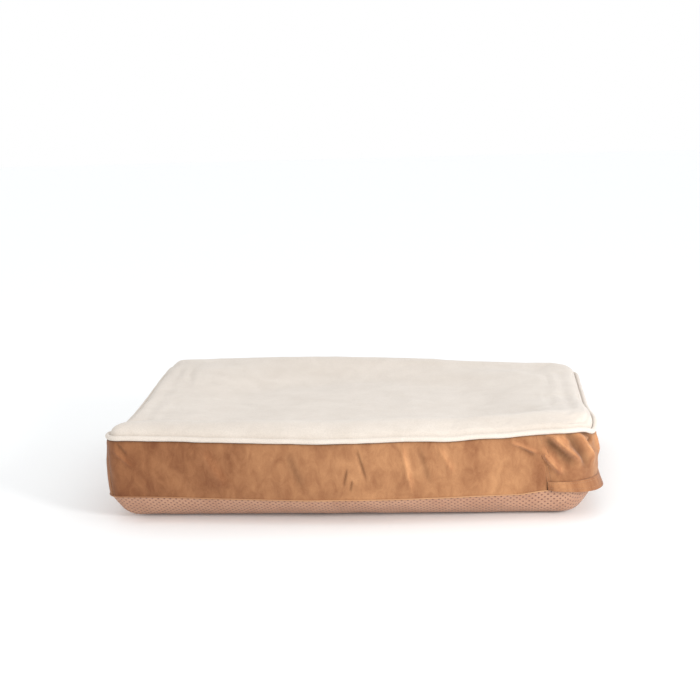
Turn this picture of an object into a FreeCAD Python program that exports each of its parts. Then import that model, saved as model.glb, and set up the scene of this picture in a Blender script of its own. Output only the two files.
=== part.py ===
"""Pet cushion bed: a zipped fabric cover around a sewn liner, a foam block and a fibre topper.

Row frame in millimetres: +X to the right, -Y is the front, +Z up. The origin is the middle of the flat
area that the bed rests on. "Outward" is away from the bed's middle, and an inset is the way inward from
the nominal outline, a rectangle of bed_width by bed_depth with rounded corners.
"""

import FreeCAD, Part  # noqa: E401  FreeCAD has to come first

import math
import os
import re

import Sketcher

SIZES = {
    # outline and heights of the cover
    "bed_width": 800,
    "bed_depth": 600,
    "left_corner": 26,
    "right_corner": 60,
    "least_left": 12,
    "least_right": 20,
    "lower_seam": 46,
    "upper_seam": 140,
    "crown_top": 166,
    "wall_bulge": 6,
    "fabric": 3,
    "seam_gap": 0.4,
    # piping around the top seam
    "piping_height": 144.2,
    "piping_inset": 1,
    "piping_outer": 4,
    "piping_core": 2.8,
    "cord_gap": 0.1,
    # insets where the crown and the base reach a few of their heights
    "skirt_inset": 5.4,
    "crown_start_drop": 6,
    "crown_low_inset": 11,
    "crown_low": 153,
    "crown_mid_inset": 26,
    "crown_mid": 161,
    "crown_inset": 56,
    "base_high_inset": 12,
    "base_high": 33,
    "base_mid_inset": 25,
    "base_mid": 18.5,
    "base_low_inset": 38,
    "base_low": 6.5,
    "base_inset": 52,
    "tray_side": 1.8,
    # zip: where it starts on the front wall, where it ends on the right wall, and its section
    "zip_start": 320,
    "zip_end": 230,
    "zip_inset": 8.5,
    "zip_height": 46,
    "tape_width": 9,
    "tape_thick": 0.8,
    "coil_width": 2.6,
    "coil_height": 2.4,
    "coil_gap": 1.2,
    "coil_end_gap": 1,
    "stop_length": 5,
    "stop_rounding": 0.8,
    "stop_rise": 0.8,
    "stop_gap": 0.1,
    "zip_panel_low": 55,
    "zip_room": 17.45,
    "zip_room_half": 9,
    # flap over the zip
    "flap_top": 66,
    "flap_drop": 18,
    "flap_thick": 2,
    "flap_flare": 12,
    "flap_gap": 0.5,
    # slider and its pull
    "slider_length": 14,
    "slider_width": 11,
    "slider_nose": 2.5,
    "slider_rest": 210,
    "channel_height": 3.4,
    "channel_gap": 0.3,
    "plate_thick": 1.1,
    "tape_slot": 1.6,
    "post_width": 0.8,
    "post_length": 5,
    "post_short": 0.2,
    "bridge_width": 2.4,
    "bridge_thick": 1.2,
    "bridge_length": 11,
    "bridge_rise": 3.4,
    "bridge_chamfer": 2,
    "bridge_sink": 0.3,
    "pull_length": 22,
    "pull_width": 7,
    "pull_thick": 1.4,
    "pull_window": 3.4,
    "pull_reach": 6.6,
    "pull_hole": 1.6,
    "pull_gap": 0.4,
    # liner and filling
    "liner": 1,
    "liner_gap": 0.6,
    "foam_gap": 0.6,
    "topper_gap": 1,
    "liner_inset": 3.6,
    "liner_split": 95,
    "foam_inset": 5.2,
    "foam_split": 76,
    "foam_top": 120,
    "layer_gap": 0.3,
    "inner_high": 65,
    "inner_low_inset": 16,
    "inner_low": 46,
    "inner_mid_inset": 29,
    "inner_mid": 26,
    "inner_base_inset": 54,
    "inner_base": 5.5,
    # care label in the back seam
    "label_width": 26,
    "label_drop": 23,
    "label_thick": 0.4,
    "label_left": 300,
}

# half widths of the outline, and the radius and middle height of the wall's bulge
HALF_WIDTH = "(bed_width / 2)"
HALF_DEPTH = "(bed_depth / 2)"
WALL_MIDDLE = "((lower_seam + upper_seam) / 2)"
BULGE_RADIUS = "(((upper_seam - lower_seam) ^ 2 / 4 + wall_bulge ^ 2) / (2 * wall_bulge))"
# the flap's slant, and the height of the pull's crossbar above the middle of the tape
FLARE_SINE = "sin(flap_flare * 1deg)"
FLARE_COSINE = "cos(flap_flare * 1deg)"
PULL_AXIS_HEIGHT = "channel_height / 2 + plate_thick + pull_thick / 2 + pull_gap"

doc = FreeCAD.newDocument("PetBed")
sheet = doc.addObject("Spreadsheet::Sheet", "Sizes")
pieces = []


def fill_sheet():
    """One row for each driving size: its name, and its value in a cell with that alias."""
    for row, (alias, value) in enumerate(SIZES.items(), start=1):
        sheet.set(f"A{row}", alias)
        sheet.set(f"B{row}", str(value))
        sheet.setAlias(f"B{row}", alias)
    doc.recompute()


def bound(expression):
    """The expression with the sheet's name before each alias, as setExpression needs it."""

    def named(word):
        return f"Sizes.{word.group()}" if word.group() in SIZES else word.group()

    return re.sub(r"[a-z_]+", named, expression)


def value(expression):
    """The expression's number for the sizes in the sheet."""
    return float(sheet.evalExpression(bound(expression)))


def new_body(label):
    body = doc.addObject("PartDesign::Body", label)
    body.Label = label
    pieces.append(body)
    return body


def new_sketch(body, name, role, offset="0"):
    """A sketch on one of the body's origin planes, moved along the plane's normal by an expression."""
    sketch = body.newObject("Sketcher::SketchObject", f"{body.Name}_{name}")
    plane = next(f for f in body.Origin.OriginFeatures if f.Role == role)
    sketch.AttachmentSupport = (plane, [""])
    sketch.MapMode = "FlatFace"
    sketch.setExpression("AttachmentOffset.Base.z", bound(offset))
    return sketch


def bind_last(sketch, expression):
    sketch.setExpression(f"Constraints[{sketch.ConstraintCount - 1}]", bound(expression))


def pin_point(sketch, geometry, end, point):
    """Holds one end of a line or arc at a point given by two expressions."""
    for kind, expression in zip(("DistanceX", "DistanceY"), point):
        sketch.addConstraint(
            Sketcher.Constraint(kind, -1, 1, geometry, end, value(expression))
        )
        bind_last(sketch, expression)


def draw(sketch, points, arcs=None, closed=True):
    """Draws lines through points, each two expressions. arcs gives some runs a radius and a turn:
    {index of the run: (radius expression, 1 anticlockwise or -1 clockwise)}."""
    arcs = arcs or {}
    first = sketch.GeometryCount
    spots = [FreeCAD.Vector(value(x), value(y), 0) for x, y in points]
    runs = len(points) if closed else len(points) - 1
    starts, ends = [], []
    for run in range(runs):
        begin, finish = spots[run], spots[(run + 1) % len(points)]
        if run not in arcs:
            sketch.addGeometry(Part.LineSegment(begin, finish))
            starts.append(1)
            ends.append(2)
            continue
        radius, turn = value(arcs[run][0]), arcs[run][1]
        chord = finish - begin
        rise = math.sqrt(max(radius**2 - chord.Length**2 / 4, 0))
        side = FreeCAD.Vector(-chord.y, chord.x, 0).normalize() * turn
        centre = (begin + finish) / 2 + side * rise
        angles = [math.atan2(p.y - centre.y, p.x - centre.x) for p in (begin, finish)]
        circle = Part.Circle(centre, FreeCAD.Vector(0, 0, 1), radius)
        sketch.addGeometry(Part.ArcOfCircle(circle, *angles[::turn]))
        starts.append(1 if turn == 1 else 2)
        ends.append(2 if turn == 1 else 1)
    for run in range(runs):
        pin_point(sketch, first + run, starts[run], points[run])
        if run + 1 < runs or closed:
            after = (run + 1) % runs
            sketch.addConstraint(
                Sketcher.Constraint(
                    "Coincident", first + run, ends[run], first + after, starts[after]
                )
            )
        else:
            pin_point(sketch, first + run, ends[run], points[-1])
        if run in arcs:
            sketch.addConstraint(
                Sketcher.Constraint("Radius", first + run, value(arcs[run][0]))
            )
            bind_last(sketch, arcs[run][0])
    return sketch


def draw_circle(sketch, centre, radius):
    spot = FreeCAD.Vector(value(centre[0]), value(centre[1]), 0)
    circle = Part.Circle(spot, FreeCAD.Vector(0, 0, 1), value(radius))
    index = sketch.addGeometry(circle)
    pin_point(sketch, index, 3, centre)
    sketch.addConstraint(Sketcher.Constraint("Radius", index, value(radius)))
    bind_last(sketch, radius)
    return sketch


def draw_box(sketch, low, high):
    """A rectangle between two corners, each two expressions."""
    return draw(sketch, [low, (high[0], low[1]), high, (low[0], high[1])])


def draw_outline(sketch, inset):
    """The bed's rounded rectangle seen from above, pulled in by an inset."""
    right, back = f"({HALF_WIDTH} - ({inset}))", f"({HALF_DEPTH} - ({inset}))"
    small = f"max(left_corner - ({inset}), least_left)"
    large = f"max(right_corner - ({inset}), least_right)"
    points = [
        (f"{right} - {large}", f"-{back}"),
        (right, f"-{back} + {large}"),
        (right, f"{back} - {large}"),
        (f"{right} - {large}", back),
        (f"-{right} + {small}", back),
        (f"-{right}", f"{back} - {small}"),
        (f"-{right}", f"-{back} + {small}"),
        (f"-{right} + {small}", f"-{back}"),
    ]
    return draw(sketch, points, {0: (large, 1), 2: (large, 1), 4: (small, 1), 6: (small, 1)})


def loft(body, name, sections, cut=False):
    """A solid, or a hollow cut from one, through outlines given as (inset, height) expressions."""
    sketches = [
        draw_outline(new_sketch(body, f"{name}_{i}", "XY_Plane", height), inset)
        for i, (inset, height) in enumerate(sections)
    ]
    kind = "SubtractiveLoft" if cut else "AdditiveLoft"
    feature = body.newObject(f"PartDesign::{kind}", f"{body.Name}_{name}_loft")
    feature.Profile = sketches[0]
    feature.Sections = sketches[1:]
    feature.Ruled = True
    doc.recompute()
    return feature


def pipe(body, name, profile, path, cut=False):
    """A profile swept along every run of a path sketch."""
    kind = "SubtractivePipe" if cut else "AdditivePipe"
    feature = body.newObject(f"PartDesign::{kind}", f"{body.Name}_{name}_pipe")
    feature.Profile = profile
    feature.Spine = (path, [f"Edge{i + 1}" for i in range(path.GeometryCount)])
    feature.Mode = "Standard"
    doc.recompute()
    return feature


def pad(body, sketch, length, both_ways=False):
    feature = body.newObject("PartDesign::Pad", f"{sketch.Name}_pad")
    feature.Profile = sketch
    feature.setExpression("Length", bound(length))
    feature.Midplane = both_ways
    doc.recompute()
    return feature


def pocket(body, sketch):
    """Cuts the sketch's shape right through the body."""
    feature = body.newObject("PartDesign::Pocket", f"{sketch.Name}_pocket")
    feature.Profile = sketch
    feature.Type = "ThroughAll"
    feature.Midplane = True
    doc.recompute()
    return feature


# ---- routes along the walls ----


def ring_path(body, inset, height):
    """The whole outline, starting in the middle of the front."""
    sketch = new_sketch(body, "route", "XY_Plane", height)
    right, back = f"({HALF_WIDTH} - {inset})", f"({HALF_DEPTH} - {inset})"
    small, large = f"(left_corner - {inset})", f"(right_corner - {inset})"
    points = [
        ("0", f"-{back}"),
        (f"{right} - {large}", f"-{back}"),
        (right, f"-{back} + {large}"),
        (right, f"{back} - {large}"),
        (f"{right} - {large}", back),
        (f"-{right} + {small}", back),
        (f"-{right}", f"{back} - {small}"),
        (f"-{right}", f"-{back} + {small}"),
        (f"-{right} + {small}", f"-{back}"),
    ]
    return draw(sketch, points, {1: (large, 1), 3: (large, 1), 5: (small, 1), 7: (small, 1)})


def front_path(body):
    """From the zip's start along the front wall to the middle of the left front corner."""
    sketch = new_sketch(body, "route", "XY_Plane")
    points = [
        ("zip_start", f"-{HALF_DEPTH}"),
        (f"-{HALF_WIDTH} + left_corner", f"-{HALF_DEPTH}"),
        left_corner_middle("-"),
    ]
    return draw(sketch, points, {1: ("left_corner", -1)}, closed=False)


def left_path(body):
    """From the middle of the left wall to the middle of the left front corner."""
    sketch = new_sketch(body, "route", "XY_Plane")
    points = [
        (f"-{HALF_WIDTH}", "0"),
        (f"-{HALF_WIDTH}", f"-{HALF_DEPTH} + left_corner"),
        left_corner_middle("-"),
    ]
    return draw(sketch, points, {1: ("left_corner", 1)}, closed=False)


def back_path(body):
    """From the zip's end on the right wall around to the middle of the left back corner."""
    sketch = new_sketch(body, "route", "XY_Plane")
    points = [
        (HALF_WIDTH, "zip_end"),
        (HALF_WIDTH, f"{HALF_DEPTH} - right_corner"),
        (f"{HALF_WIDTH} - right_corner", HALF_DEPTH),
        (f"-{HALF_WIDTH} + left_corner", HALF_DEPTH),
        left_corner_middle(""),
    ]
    arcs = {1: ("right_corner", 1), 3: ("left_corner", 1)}
    return draw(sketch, points, arcs, closed=False)


def zip_path(body, start="zip_start", end="zip_end"):
    """From the front wall around the right front corner and along the right wall."""
    sketch = new_sketch(body, "route", "XY_Plane")
    points = [
        (start, f"-{HALF_DEPTH}"),
        (f"{HALF_WIDTH} - right_corner", f"-{HALF_DEPTH}"),
        (HALF_WIDTH, f"-{HALF_DEPTH} + right_corner"),
        (HALF_WIDTH, end),
    ]
    return draw(sketch, points, {1: ("right_corner", 1)}, closed=False)


def zip_corner_path(body):
    """The part of the zip's route on the front wall and around the corner."""
    sketch = new_sketch(body, "route", "XY_Plane")
    points = [
        ("zip_start", f"-{HALF_DEPTH}"),
        (f"{HALF_WIDTH} - right_corner", f"-{HALF_DEPTH}"),
        (HALF_WIDTH, f"-{HALF_DEPTH} + right_corner"),
    ]
    return draw(sketch, points, {1: ("right_corner", 1)}, closed=False)


def left_corner_middle(side):
    """The middle of a left corner's arc: side is "-" for the front corner and "" for the back one."""
    cut = "left_corner * (1 - sqrt(0.5))"
    depth = f"-({HALF_DEPTH} - {cut})" if side else f"{HALF_DEPTH} - {cut}"
    return (f"-{HALF_WIDTH} + {cut}", depth)


# ---- the cover ----


def wall_points(low, along):
    """Section of a bulging wall from a low edge up to the upper seam, and its arcs' runs.
    along turns an outward distance into the sketch's sideways coordinate."""
    swell = f"(sqrt({BULGE_RADIUS} ^ 2 - ({low} - {WALL_MIDDLE}) ^ 2) - {BULGE_RADIUS} + wall_bulge)"
    return [
        (along(swell), low),
        (along("0"), "upper_seam"),
        (along("-fabric"), "upper_seam"),
        (along(f"({swell} - fabric)"), low),
    ]


def wall_panel(label, path_maker, role, offset, edge, outward, low="lower_seam"):
    """A strip of the side wall, swept from a plane across its route. edge is where the wall's plane
    crosses the sketch, and outward is 1 if the sketch's sideways axis points away from the bed."""
    body = new_body(label)
    path = path_maker(body)
    sign = "+" if outward == 1 else "-"
    points = wall_points(low, lambda out: f"{edge} {sign} {out}")
    sketch = new_sketch(body, "section", role, offset)
    draw(sketch, points, {0: (BULGE_RADIUS, outward), 2: (BULGE_RADIUS, -outward)})
    pipe(body, "wall", sketch, path)
    return body


def make_walls():
    wall_panel("gusset_front", front_path, "YZ_Plane", "zip_start", f"-{HALF_DEPTH}", -1)
    wall_panel("gusset_back", back_path, "XZ_Plane", "-zip_end", HALF_WIDTH, 1)
    wall_panel(
        "gusset_zip_side", zip_path, "YZ_Plane", "zip_start", f"-{HALF_DEPTH}", -1, "zip_panel_low"
    )
    left = wall_panel("gusset_left", left_path, "XZ_Plane", "0", f"-{HALF_WIDTH}", -1)
    mirror = left.newObject("PartDesign::Mirrored", "gusset_left_mirror")
    mirror.Originals = [left.Tip]
    plane = next(f for f in left.Origin.OriginFeatures if f.Role == "XZ_Plane")
    mirror.MirrorPlane = (plane, [""])
    left.Tip = mirror
    doc.recompute()


def make_top():
    """The sleeping surface: a crowned sheet that ends in a short skirt inside the piping."""
    body = new_body("cover_top")
    outer = [
        ("skirt_inset", "upper_seam + seam_gap"),
        ("skirt_inset", "piping_height"),
        ("crown_low_inset", "crown_low"),
        ("crown_mid_inset", "crown_mid"),
        ("crown_inset", "crown_top"),
    ]
    inner = [
        ("skirt_inset + fabric", "upper_seam - fabric"),
        ("skirt_inset + fabric", "piping_height - fabric / 2"),
        ("crown_low_inset + fabric / 2", "crown_low - fabric"),
        ("crown_mid_inset", "crown_mid - fabric"),
        ("crown_inset", "crown_top - fabric"),
    ]
    loft(body, "outside", outer)
    loft(body, "inside", inner, cut=True)


def make_base():
    """The underside: a shallow tray, cut back where the zip runs between it and the wall."""
    body = new_body("cover_bottom")
    outer = [
        ("0", "lower_seam"),
        ("base_high_inset", "base_high"),
        ("base_mid_inset", "base_mid"),
        ("base_low_inset", "base_low"),
        ("base_inset", "0"),
    ]
    loft(body, "outside", outer)
    inner = [(f"{inset} + tray_side", f"{height} + fabric") for inset, height in outer]
    loft(body, "inside", inner, cut=True)
    path = zip_path(body)
    sketch = new_sketch(body, "zip_room", "YZ_Plane", "zip_start")
    draw_box(
        sketch,
        (f"-{HALF_DEPTH} - wall_bulge", "base_high - zip_room_half"),
        (f"-{HALF_DEPTH} + zip_room", "lower_seam + zip_room_half"),
    )
    pipe(body, "zip_room", sketch, path, cut=True)


def make_piping():
    """The fabric tube around the top seam, and the cord inside it."""
    middle = (f"-{HALF_DEPTH} + piping_inset", "piping_height")
    wrap = new_body("piping_cover")
    path = ring_path(wrap, "piping_inset", "piping_height")
    outside = draw_circle(new_sketch(wrap, "outside", "YZ_Plane"), middle, "piping_outer")
    inside = draw_circle(new_sketch(wrap, "inside", "YZ_Plane"), middle, "piping_core + cord_gap")
    pipe(wrap, "outside", outside, path)
    pipe(wrap, "inside", inside, path, cut=True)
    cord = new_body("piping_cord")
    path = ring_path(cord, "piping_inset", "piping_height")
    section = draw_circle(new_sketch(cord, "section", "YZ_Plane"), middle, "piping_core")
    pipe(cord, "core", section, path)


def make_label():
    body = new_body("care_label")
    sketch = new_sketch(body, "outline", "XZ_Plane", f"-({HALF_DEPTH} + label_thick)")
    low = "lower_seam - label_drop"
    draw_box(sketch, ("-label_left", low), ("-label_left + label_width", "lower_seam"))
    pad(body, sketch, "label_thick")


# ---- the zip ----


def zip_point(across, out):
    """A point in the zip's section on the front wall. across runs up the slope of the tape, out away
    from it. The tape slopes at 45 degrees, so both turn by the same amount."""
    depth = f"-({HALF_DEPTH} - zip_inset + (({across}) + ({out})) * sqrt(0.5))"
    height = f"zip_height + (({across}) - ({out})) * sqrt(0.5)"
    return depth, height


def zip_strip(label, across_low, across_high, thick, start="zip_start", end="zip_end"):
    """A strip of one section along the zip's route."""
    body = new_body(label)
    path = zip_path(body, start, end)
    sketch = new_sketch(body, "section", "YZ_Plane", start)
    half = f"{thick} / 2"
    corners = [
        zip_point(across_low, f"-{half}"),
        zip_point(across_high, f"-{half}"),
        zip_point(across_high, half),
        zip_point(across_low, half),
    ]
    draw(sketch, corners)
    pipe(body, "strip", sketch, path)


def make_tapes():
    near, far = "(coil_gap / 2 + coil_width)", "(coil_gap / 2 + coil_width + tape_width)"
    zip_strip("zip_tape_upper", near, far, "tape_thick")
    zip_strip("zip_tape_lower", f"-{far}", f"-{near}", "tape_thick")
    ends = ("zip_start + stop_length + coil_end_gap", "zip_end - stop_length - coil_end_gap")
    zip_strip("zip_coil_upper", "coil_gap / 2", near, "coil_height", *ends)
    zip_strip("zip_coil_lower", f"-{near}", "-(coil_gap / 2)", "coil_height", *ends)


def zip_placement(along):
    """Turns a piece drawn flat, with X along the zip and Z outward, onto the zip's right side."""
    slope = math.sqrt(0.5)
    outward = FreeCAD.Vector(slope, 0, -slope)
    across = FreeCAD.Vector(slope, 0, slope)
    turn = FreeCAD.Rotation(FreeCAD.Vector(0, 1, 0), across, outward, "ZXY")
    spot = FreeCAD.Vector(value(f"{HALF_WIDTH} - zip_inset"), value(along), value("zip_height"))
    return FreeCAD.Placement(spot, turn)


def front_zip_placement(along):
    """The same for the front wall, with X along the zip to the right."""
    slope = math.sqrt(0.5)
    outward = FreeCAD.Vector(0, -slope, -slope)
    across = FreeCAD.Vector(0, -slope, slope)
    turn = FreeCAD.Rotation(FreeCAD.Vector(1, 0, 0), across, outward, "ZXY")
    spot = FreeCAD.Vector(value(along), -value(f"{HALF_DEPTH} - zip_inset"), value("zip_height"))
    return FreeCAD.Placement(spot, turn)


def make_stops():
    """The metal clips that close both ends of the chain."""
    reach = "(coil_gap / 2 + coil_width - stop_gap)"
    for label, placement in (
        ("zip_stop_front", front_zip_placement("zip_start + stop_length / 2")),
        ("zip_stop_rear", zip_placement("zip_end - stop_length / 2")),
    ):
        body = new_body(label)
        sketch = new_sketch(body, "plan", "XY_Plane")
        draw_box(sketch, ("-stop_length / 2", f"-{reach}"), ("stop_length / 2", reach))
        block = pad(body, sketch, "coil_height + stop_rise", both_ways=True)
        upright = [
            f"Edge{i + 1}"
            for i, edge in enumerate(block.Shape.Edges)
            if abs(edge.tangentAt(edge.FirstParameter).z) > 0.9
        ]
        rounding = body.newObject("PartDesign::Fillet", f"{label}_rounding")
        rounding.Base = (block, upright)
        rounding.setExpression("Radius", bound("stop_rounding"))
        doc.recompute()
        body.Placement = placement


def make_slider():
    """Two plates joined by a post that runs between the coils, with a bridge for the pull."""
    body = new_body("zip_slider")
    half_length, half_width = "(slider_length / 2)", "(slider_width / 2)"
    inner = "(coil_gap / 2 + coil_width + channel_gap)"
    outer_face = "(channel_height / 2 + plate_thick)"
    plan = new_sketch(body, "plan", "XY_Plane")
    nose = "slider_nose"
    corners = [
        (f"-{half_length} + {nose}", f"-{half_width}"),
        (f"{half_length} - {nose}", f"-{half_width}"),
        (half_length, f"-{half_width} + {nose}"),
        (half_length, f"{half_width} - {nose}"),
        (f"{half_length} - {nose}", half_width),
        (f"-{half_length} + {nose}", half_width),
        (f"-{half_length}", f"{half_width} - {nose}"),
        (f"-{half_length}", f"-{half_width} + {nose}"),
    ]
    draw(plan, corners, {i: (nose, 1) for i in (1, 3, 5, 7)})
    pad(body, plan, f"2 * {outer_face}", both_ways=True)
    channel = new_sketch(body, "channel", "YZ_Plane")
    draw_box(channel, (f"-{inner}", "-channel_height / 2"), (inner, "channel_height / 2"))
    pocket(body, channel)
    slot = new_sketch(body, "slot", "YZ_Plane")
    draw_box(slot, ("-slider_width", "-tape_slot / 2"), ("slider_width", "tape_slot / 2"))
    pocket(body, slot)
    post = new_sketch(body, "post", "XY_Plane")
    draw_box(
        post, ("-post_length / 2", "-post_width / 2"), ("post_length / 2", "post_width / 2")
    )
    pad(body, post, f"2 * {outer_face} - post_short", both_ways=True)
    bridge = new_sketch(body, "bridge", "XZ_Plane")
    foot, rise = "(bridge_length / 2)", f"({outer_face} + bridge_rise)"
    chamfer, under = "bridge_chamfer", f"({outer_face} + bridge_rise - bridge_thick)"
    sunk = f"({outer_face} - bridge_sink)"
    arch = [
        (f"-{foot}", sunk),
        (f"-{foot} + bridge_thick", sunk),
        (f"-{foot} + bridge_thick", f"{under} - {chamfer}"),
        (f"-{foot} + bridge_thick + {chamfer} / 2", under),
        (f"{foot} - bridge_thick - {chamfer} / 2", under),
        (f"{foot} - bridge_thick", f"{under} - {chamfer}"),
        (f"{foot} - bridge_thick", sunk),
        (foot, sunk),
        (foot, f"{rise} - {chamfer}"),
        (f"{foot} - {chamfer}", rise),
        (f"-{foot} + {chamfer}", rise),
        (f"-{foot}", f"{rise} - {chamfer}"),
    ]
    draw(bridge, arch)
    pad(body, bridge, "bridge_width", both_ways=True)
    body.Placement = zip_placement("slider_rest")


def make_pull():
    """The tab, drawn along Z from its crossbar, which lies under the slider's bridge."""
    body = new_body("zip_pull")
    half = "(pull_width / 2)"
    plate = new_sketch(body, "plate", "YZ_Plane")
    outline = [
        (f"-{half}", "0"),
        (half, "0"),
        (half, f"pull_length - {half}"),
        ("0", "pull_length"),
        (f"-{half}", f"pull_length - {half}"),
    ]
    draw(plate, outline, {2: (half, 1), 3: (half, 1)})
    pad(body, plate, "pull_thick", both_ways=True)
    window = new_sketch(body, "window", "YZ_Plane")
    draw_box(
        window, ("-pull_window / 2", "pull_thick / 2"), ("pull_window / 2", "pull_reach")
    )
    pocket(body, window)
    hole = new_sketch(body, "hole", "YZ_Plane")
    draw_circle(hole, ("0", f"pull_length - {half}"), "pull_hole")
    pocket(body, hole)
    crossbar = new_sketch(body, "crossbar", "XZ_Plane")
    draw_circle(crossbar, ("0", "0"), "pull_thick / 2")
    pad(body, crossbar, "pull_width", both_ways=True)
    placement = zip_placement("slider_rest")
    out = placement.Rotation.multVec(FreeCAD.Vector(0, 0, value(PULL_AXIS_HEIGHT)))
    body.Placement = FreeCAD.Placement(placement.Base + out, placement.Rotation)


def flap_points(along):
    """Section of the flap: a rounded root, two straight faces that flare outward and a rounded hem.
    along turns an outward distance into the sketch's sideways coordinate."""

    def point(down, across):
        """A point by its distances down the flap from the hinge line and across its thickness."""
        out = f"({flap_root()}) + ({down}) * {FLARE_SINE} + ({across}) * {FLARE_COSINE}"
        return along(f"({out})"), f"flap_top - ({down}) * {FLARE_COSINE} + ({across}) * {FLARE_SINE}"

    half = "flap_thick / 2"
    return [
        point("0", f"-{half}"),
        point("flap_drop", f"-{half}"),
        point(f"flap_drop + {half}", "0"),
        point("flap_drop", half),
        point("0", half),
        point(f"-{half}", "0"),
    ]


def flap_root():
    """How far the flap's hinge line stands out from the nominal wall."""
    swell = f"sqrt({BULGE_RADIUS} ^ 2 - (flap_top - {WALL_MIDDLE}) ^ 2) - {BULGE_RADIUS} + wall_bulge"
    return f"{swell} + flap_gap + flap_thick / 2"


def rounded_ends(turn):
    return {run: ("flap_thick / 2", turn) for run in (1, 2, 4, 5)}


def make_flap():
    """The strip that hides the zip: its sewn corner stretch, and the straight side that lifts."""
    corner = new_body("zip_flap_corner")
    path = zip_corner_path(corner)
    section = new_sketch(corner, "section", "YZ_Plane", "zip_start")
    draw(section, flap_points(lambda out: f"-{HALF_DEPTH} - {out}"), rounded_ends(-1))
    pipe(corner, "strip", section, path)
    side = new_body("zip_flap_side")
    near = f"({HALF_DEPTH} - right_corner - flap_gap)"
    section = new_sketch(side, "section", "XZ_Plane", near)
    draw(section, flap_points(lambda out: f"{HALF_WIDTH} + {out}"), rounded_ends(1))
    strip = pad(side, section, f"{near} + zip_end")
    strip.Reversed = True
    doc.recompute()


# ---- liner and filling ----


def lower_sections(inset, height):
    """The underside of what lies inside the cover, from the wall down to its flat bottom."""
    return [
        (inset, "inner_high"),
        (f"inner_low_inset + {inset} - liner_inset", f"inner_low + {height}"),
        (f"inner_mid_inset + {inset} - liner_inset", f"inner_mid + {height}"),
        (f"inner_base_inset + {inset} - liner_inset", f"inner_base + {height}"),
    ]


def crown_sections(depth, inset):
    """The crown at a depth below the cover's outside, from the wall up to its flat top."""
    return [
        (inset, "upper_seam - crown_start_drop"),
        (f"skirt_inset + {depth}", f"piping_height - {depth}"),
        (f"crown_low_inset + {depth} / 2", f"crown_low - {depth}"),
        (f"crown_mid_inset + {depth} / 4", f"crown_mid - {depth}"),
        ("crown_inset", f"crown_top - {depth}"),
    ]


def make_liner():
    """The sewn inner bag, as a lower and an upper shell that meet at its middle seam."""
    lower = new_body("liner_lower")
    loft(lower, "outside", [("liner_inset", "liner_split"), *lower_sections("liner_inset", "0")])
    inside = [
        ("liner_inset + liner", "liner_split + 2"),
        *lower_sections("(liner_inset + liner)", "liner"),
    ]
    loft(lower, "inside", inside, cut=True)
    upper = new_body("liner_upper")
    depth = "(fabric + liner_gap)"
    outside = [
        ("liner_inset", "liner_split + layer_gap"),
        *crown_sections(depth, "liner_inset"),
    ]
    loft(upper, "outside", outside)
    inside = [
        ("liner_inset + liner", "liner_split - 2"),
        *crown_sections(f"({depth} + liner)", "(liner_inset + liner)"),
    ]
    loft(upper, "inside", inside, cut=True)


def make_filling():
    """A firm base foam, a memory foam slab on it and a fibre topper under the crown."""
    base = new_body("base_foam")
    loft(base, "block", [("foam_inset", "foam_split"), *lower_sections("foam_inset", "(liner + foam_gap)")])
    slab = new_body("memory_foam")
    low = "foam_split + layer_gap"
    loft(slab, "block", [("foam_inset", low), ("foam_inset", "foam_top")])
    topper = new_body("fibre_topper")
    depth = "(fabric + liner_gap + liner + topper_gap)"
    start = ("foam_inset", "foam_top + layer_gap")
    loft(topper, "block", [start, *crown_sections(depth, "foam_inset")])


# ---- checks and files ----


def check(piece):
    shape = piece.Shape
    if shape.isNull() or not shape.isValid() or shape.Volume <= 0:
        raise ValueError(f"{piece.Label} has no valid solid")
    if len(shape.Solids) != 1:
        raise ValueError(f"{piece.Label} has {len(shape.Solids)} solids")


def save():
    for item in doc.Objects:
        if "Invalid" in item.State or "Error" in item.State:
            raise ValueError(f"{item.Label} failed: {item.State}")
    os.makedirs("parts", exist_ok=True)
    for piece in pieces:
        check(piece)
    for piece in pieces:
        piece.Shape.exportStep(f"parts/{piece.Label}.step")
        box = piece.Shape.BoundBox
        print(f"{piece.Label:18} {piece.Shape.Volume / 1000:10.2f} cm3  "
              f"x {box.XMin:7.1f} {box.XMax:7.1f}  y {box.YMin:7.1f} {box.YMax:7.1f}  "
              f"z {box.ZMin:6.1f} {box.ZMax:6.1f}")


fill_sheet()
make_top()
make_piping()
make_walls()
make_base()
make_label()
make_tapes()
make_stops()
make_slider()
make_pull()
make_flap()
make_liner()
make_filling()
doc.recompute()
save()
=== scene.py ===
"""The looks of a pet cushion bed: its soft cover, seams, zip and materials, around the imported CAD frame.

Everything is in metres in the frame's own axes: +X to the right, -Y is the front, +Z up, floor at z = 0.
The cover is made of patches. A patch is a grid of points with a place on the outline (s, the distance
walked around it), an inset from it or a height, and a position. The patches are simulated together as
cloth, then refined, given their folds and puckers, and made into pieces.
"""

import math

import bmesh
import bpy
import numpy as np
from mathutils import Euler, Matrix, Vector, noise


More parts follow.
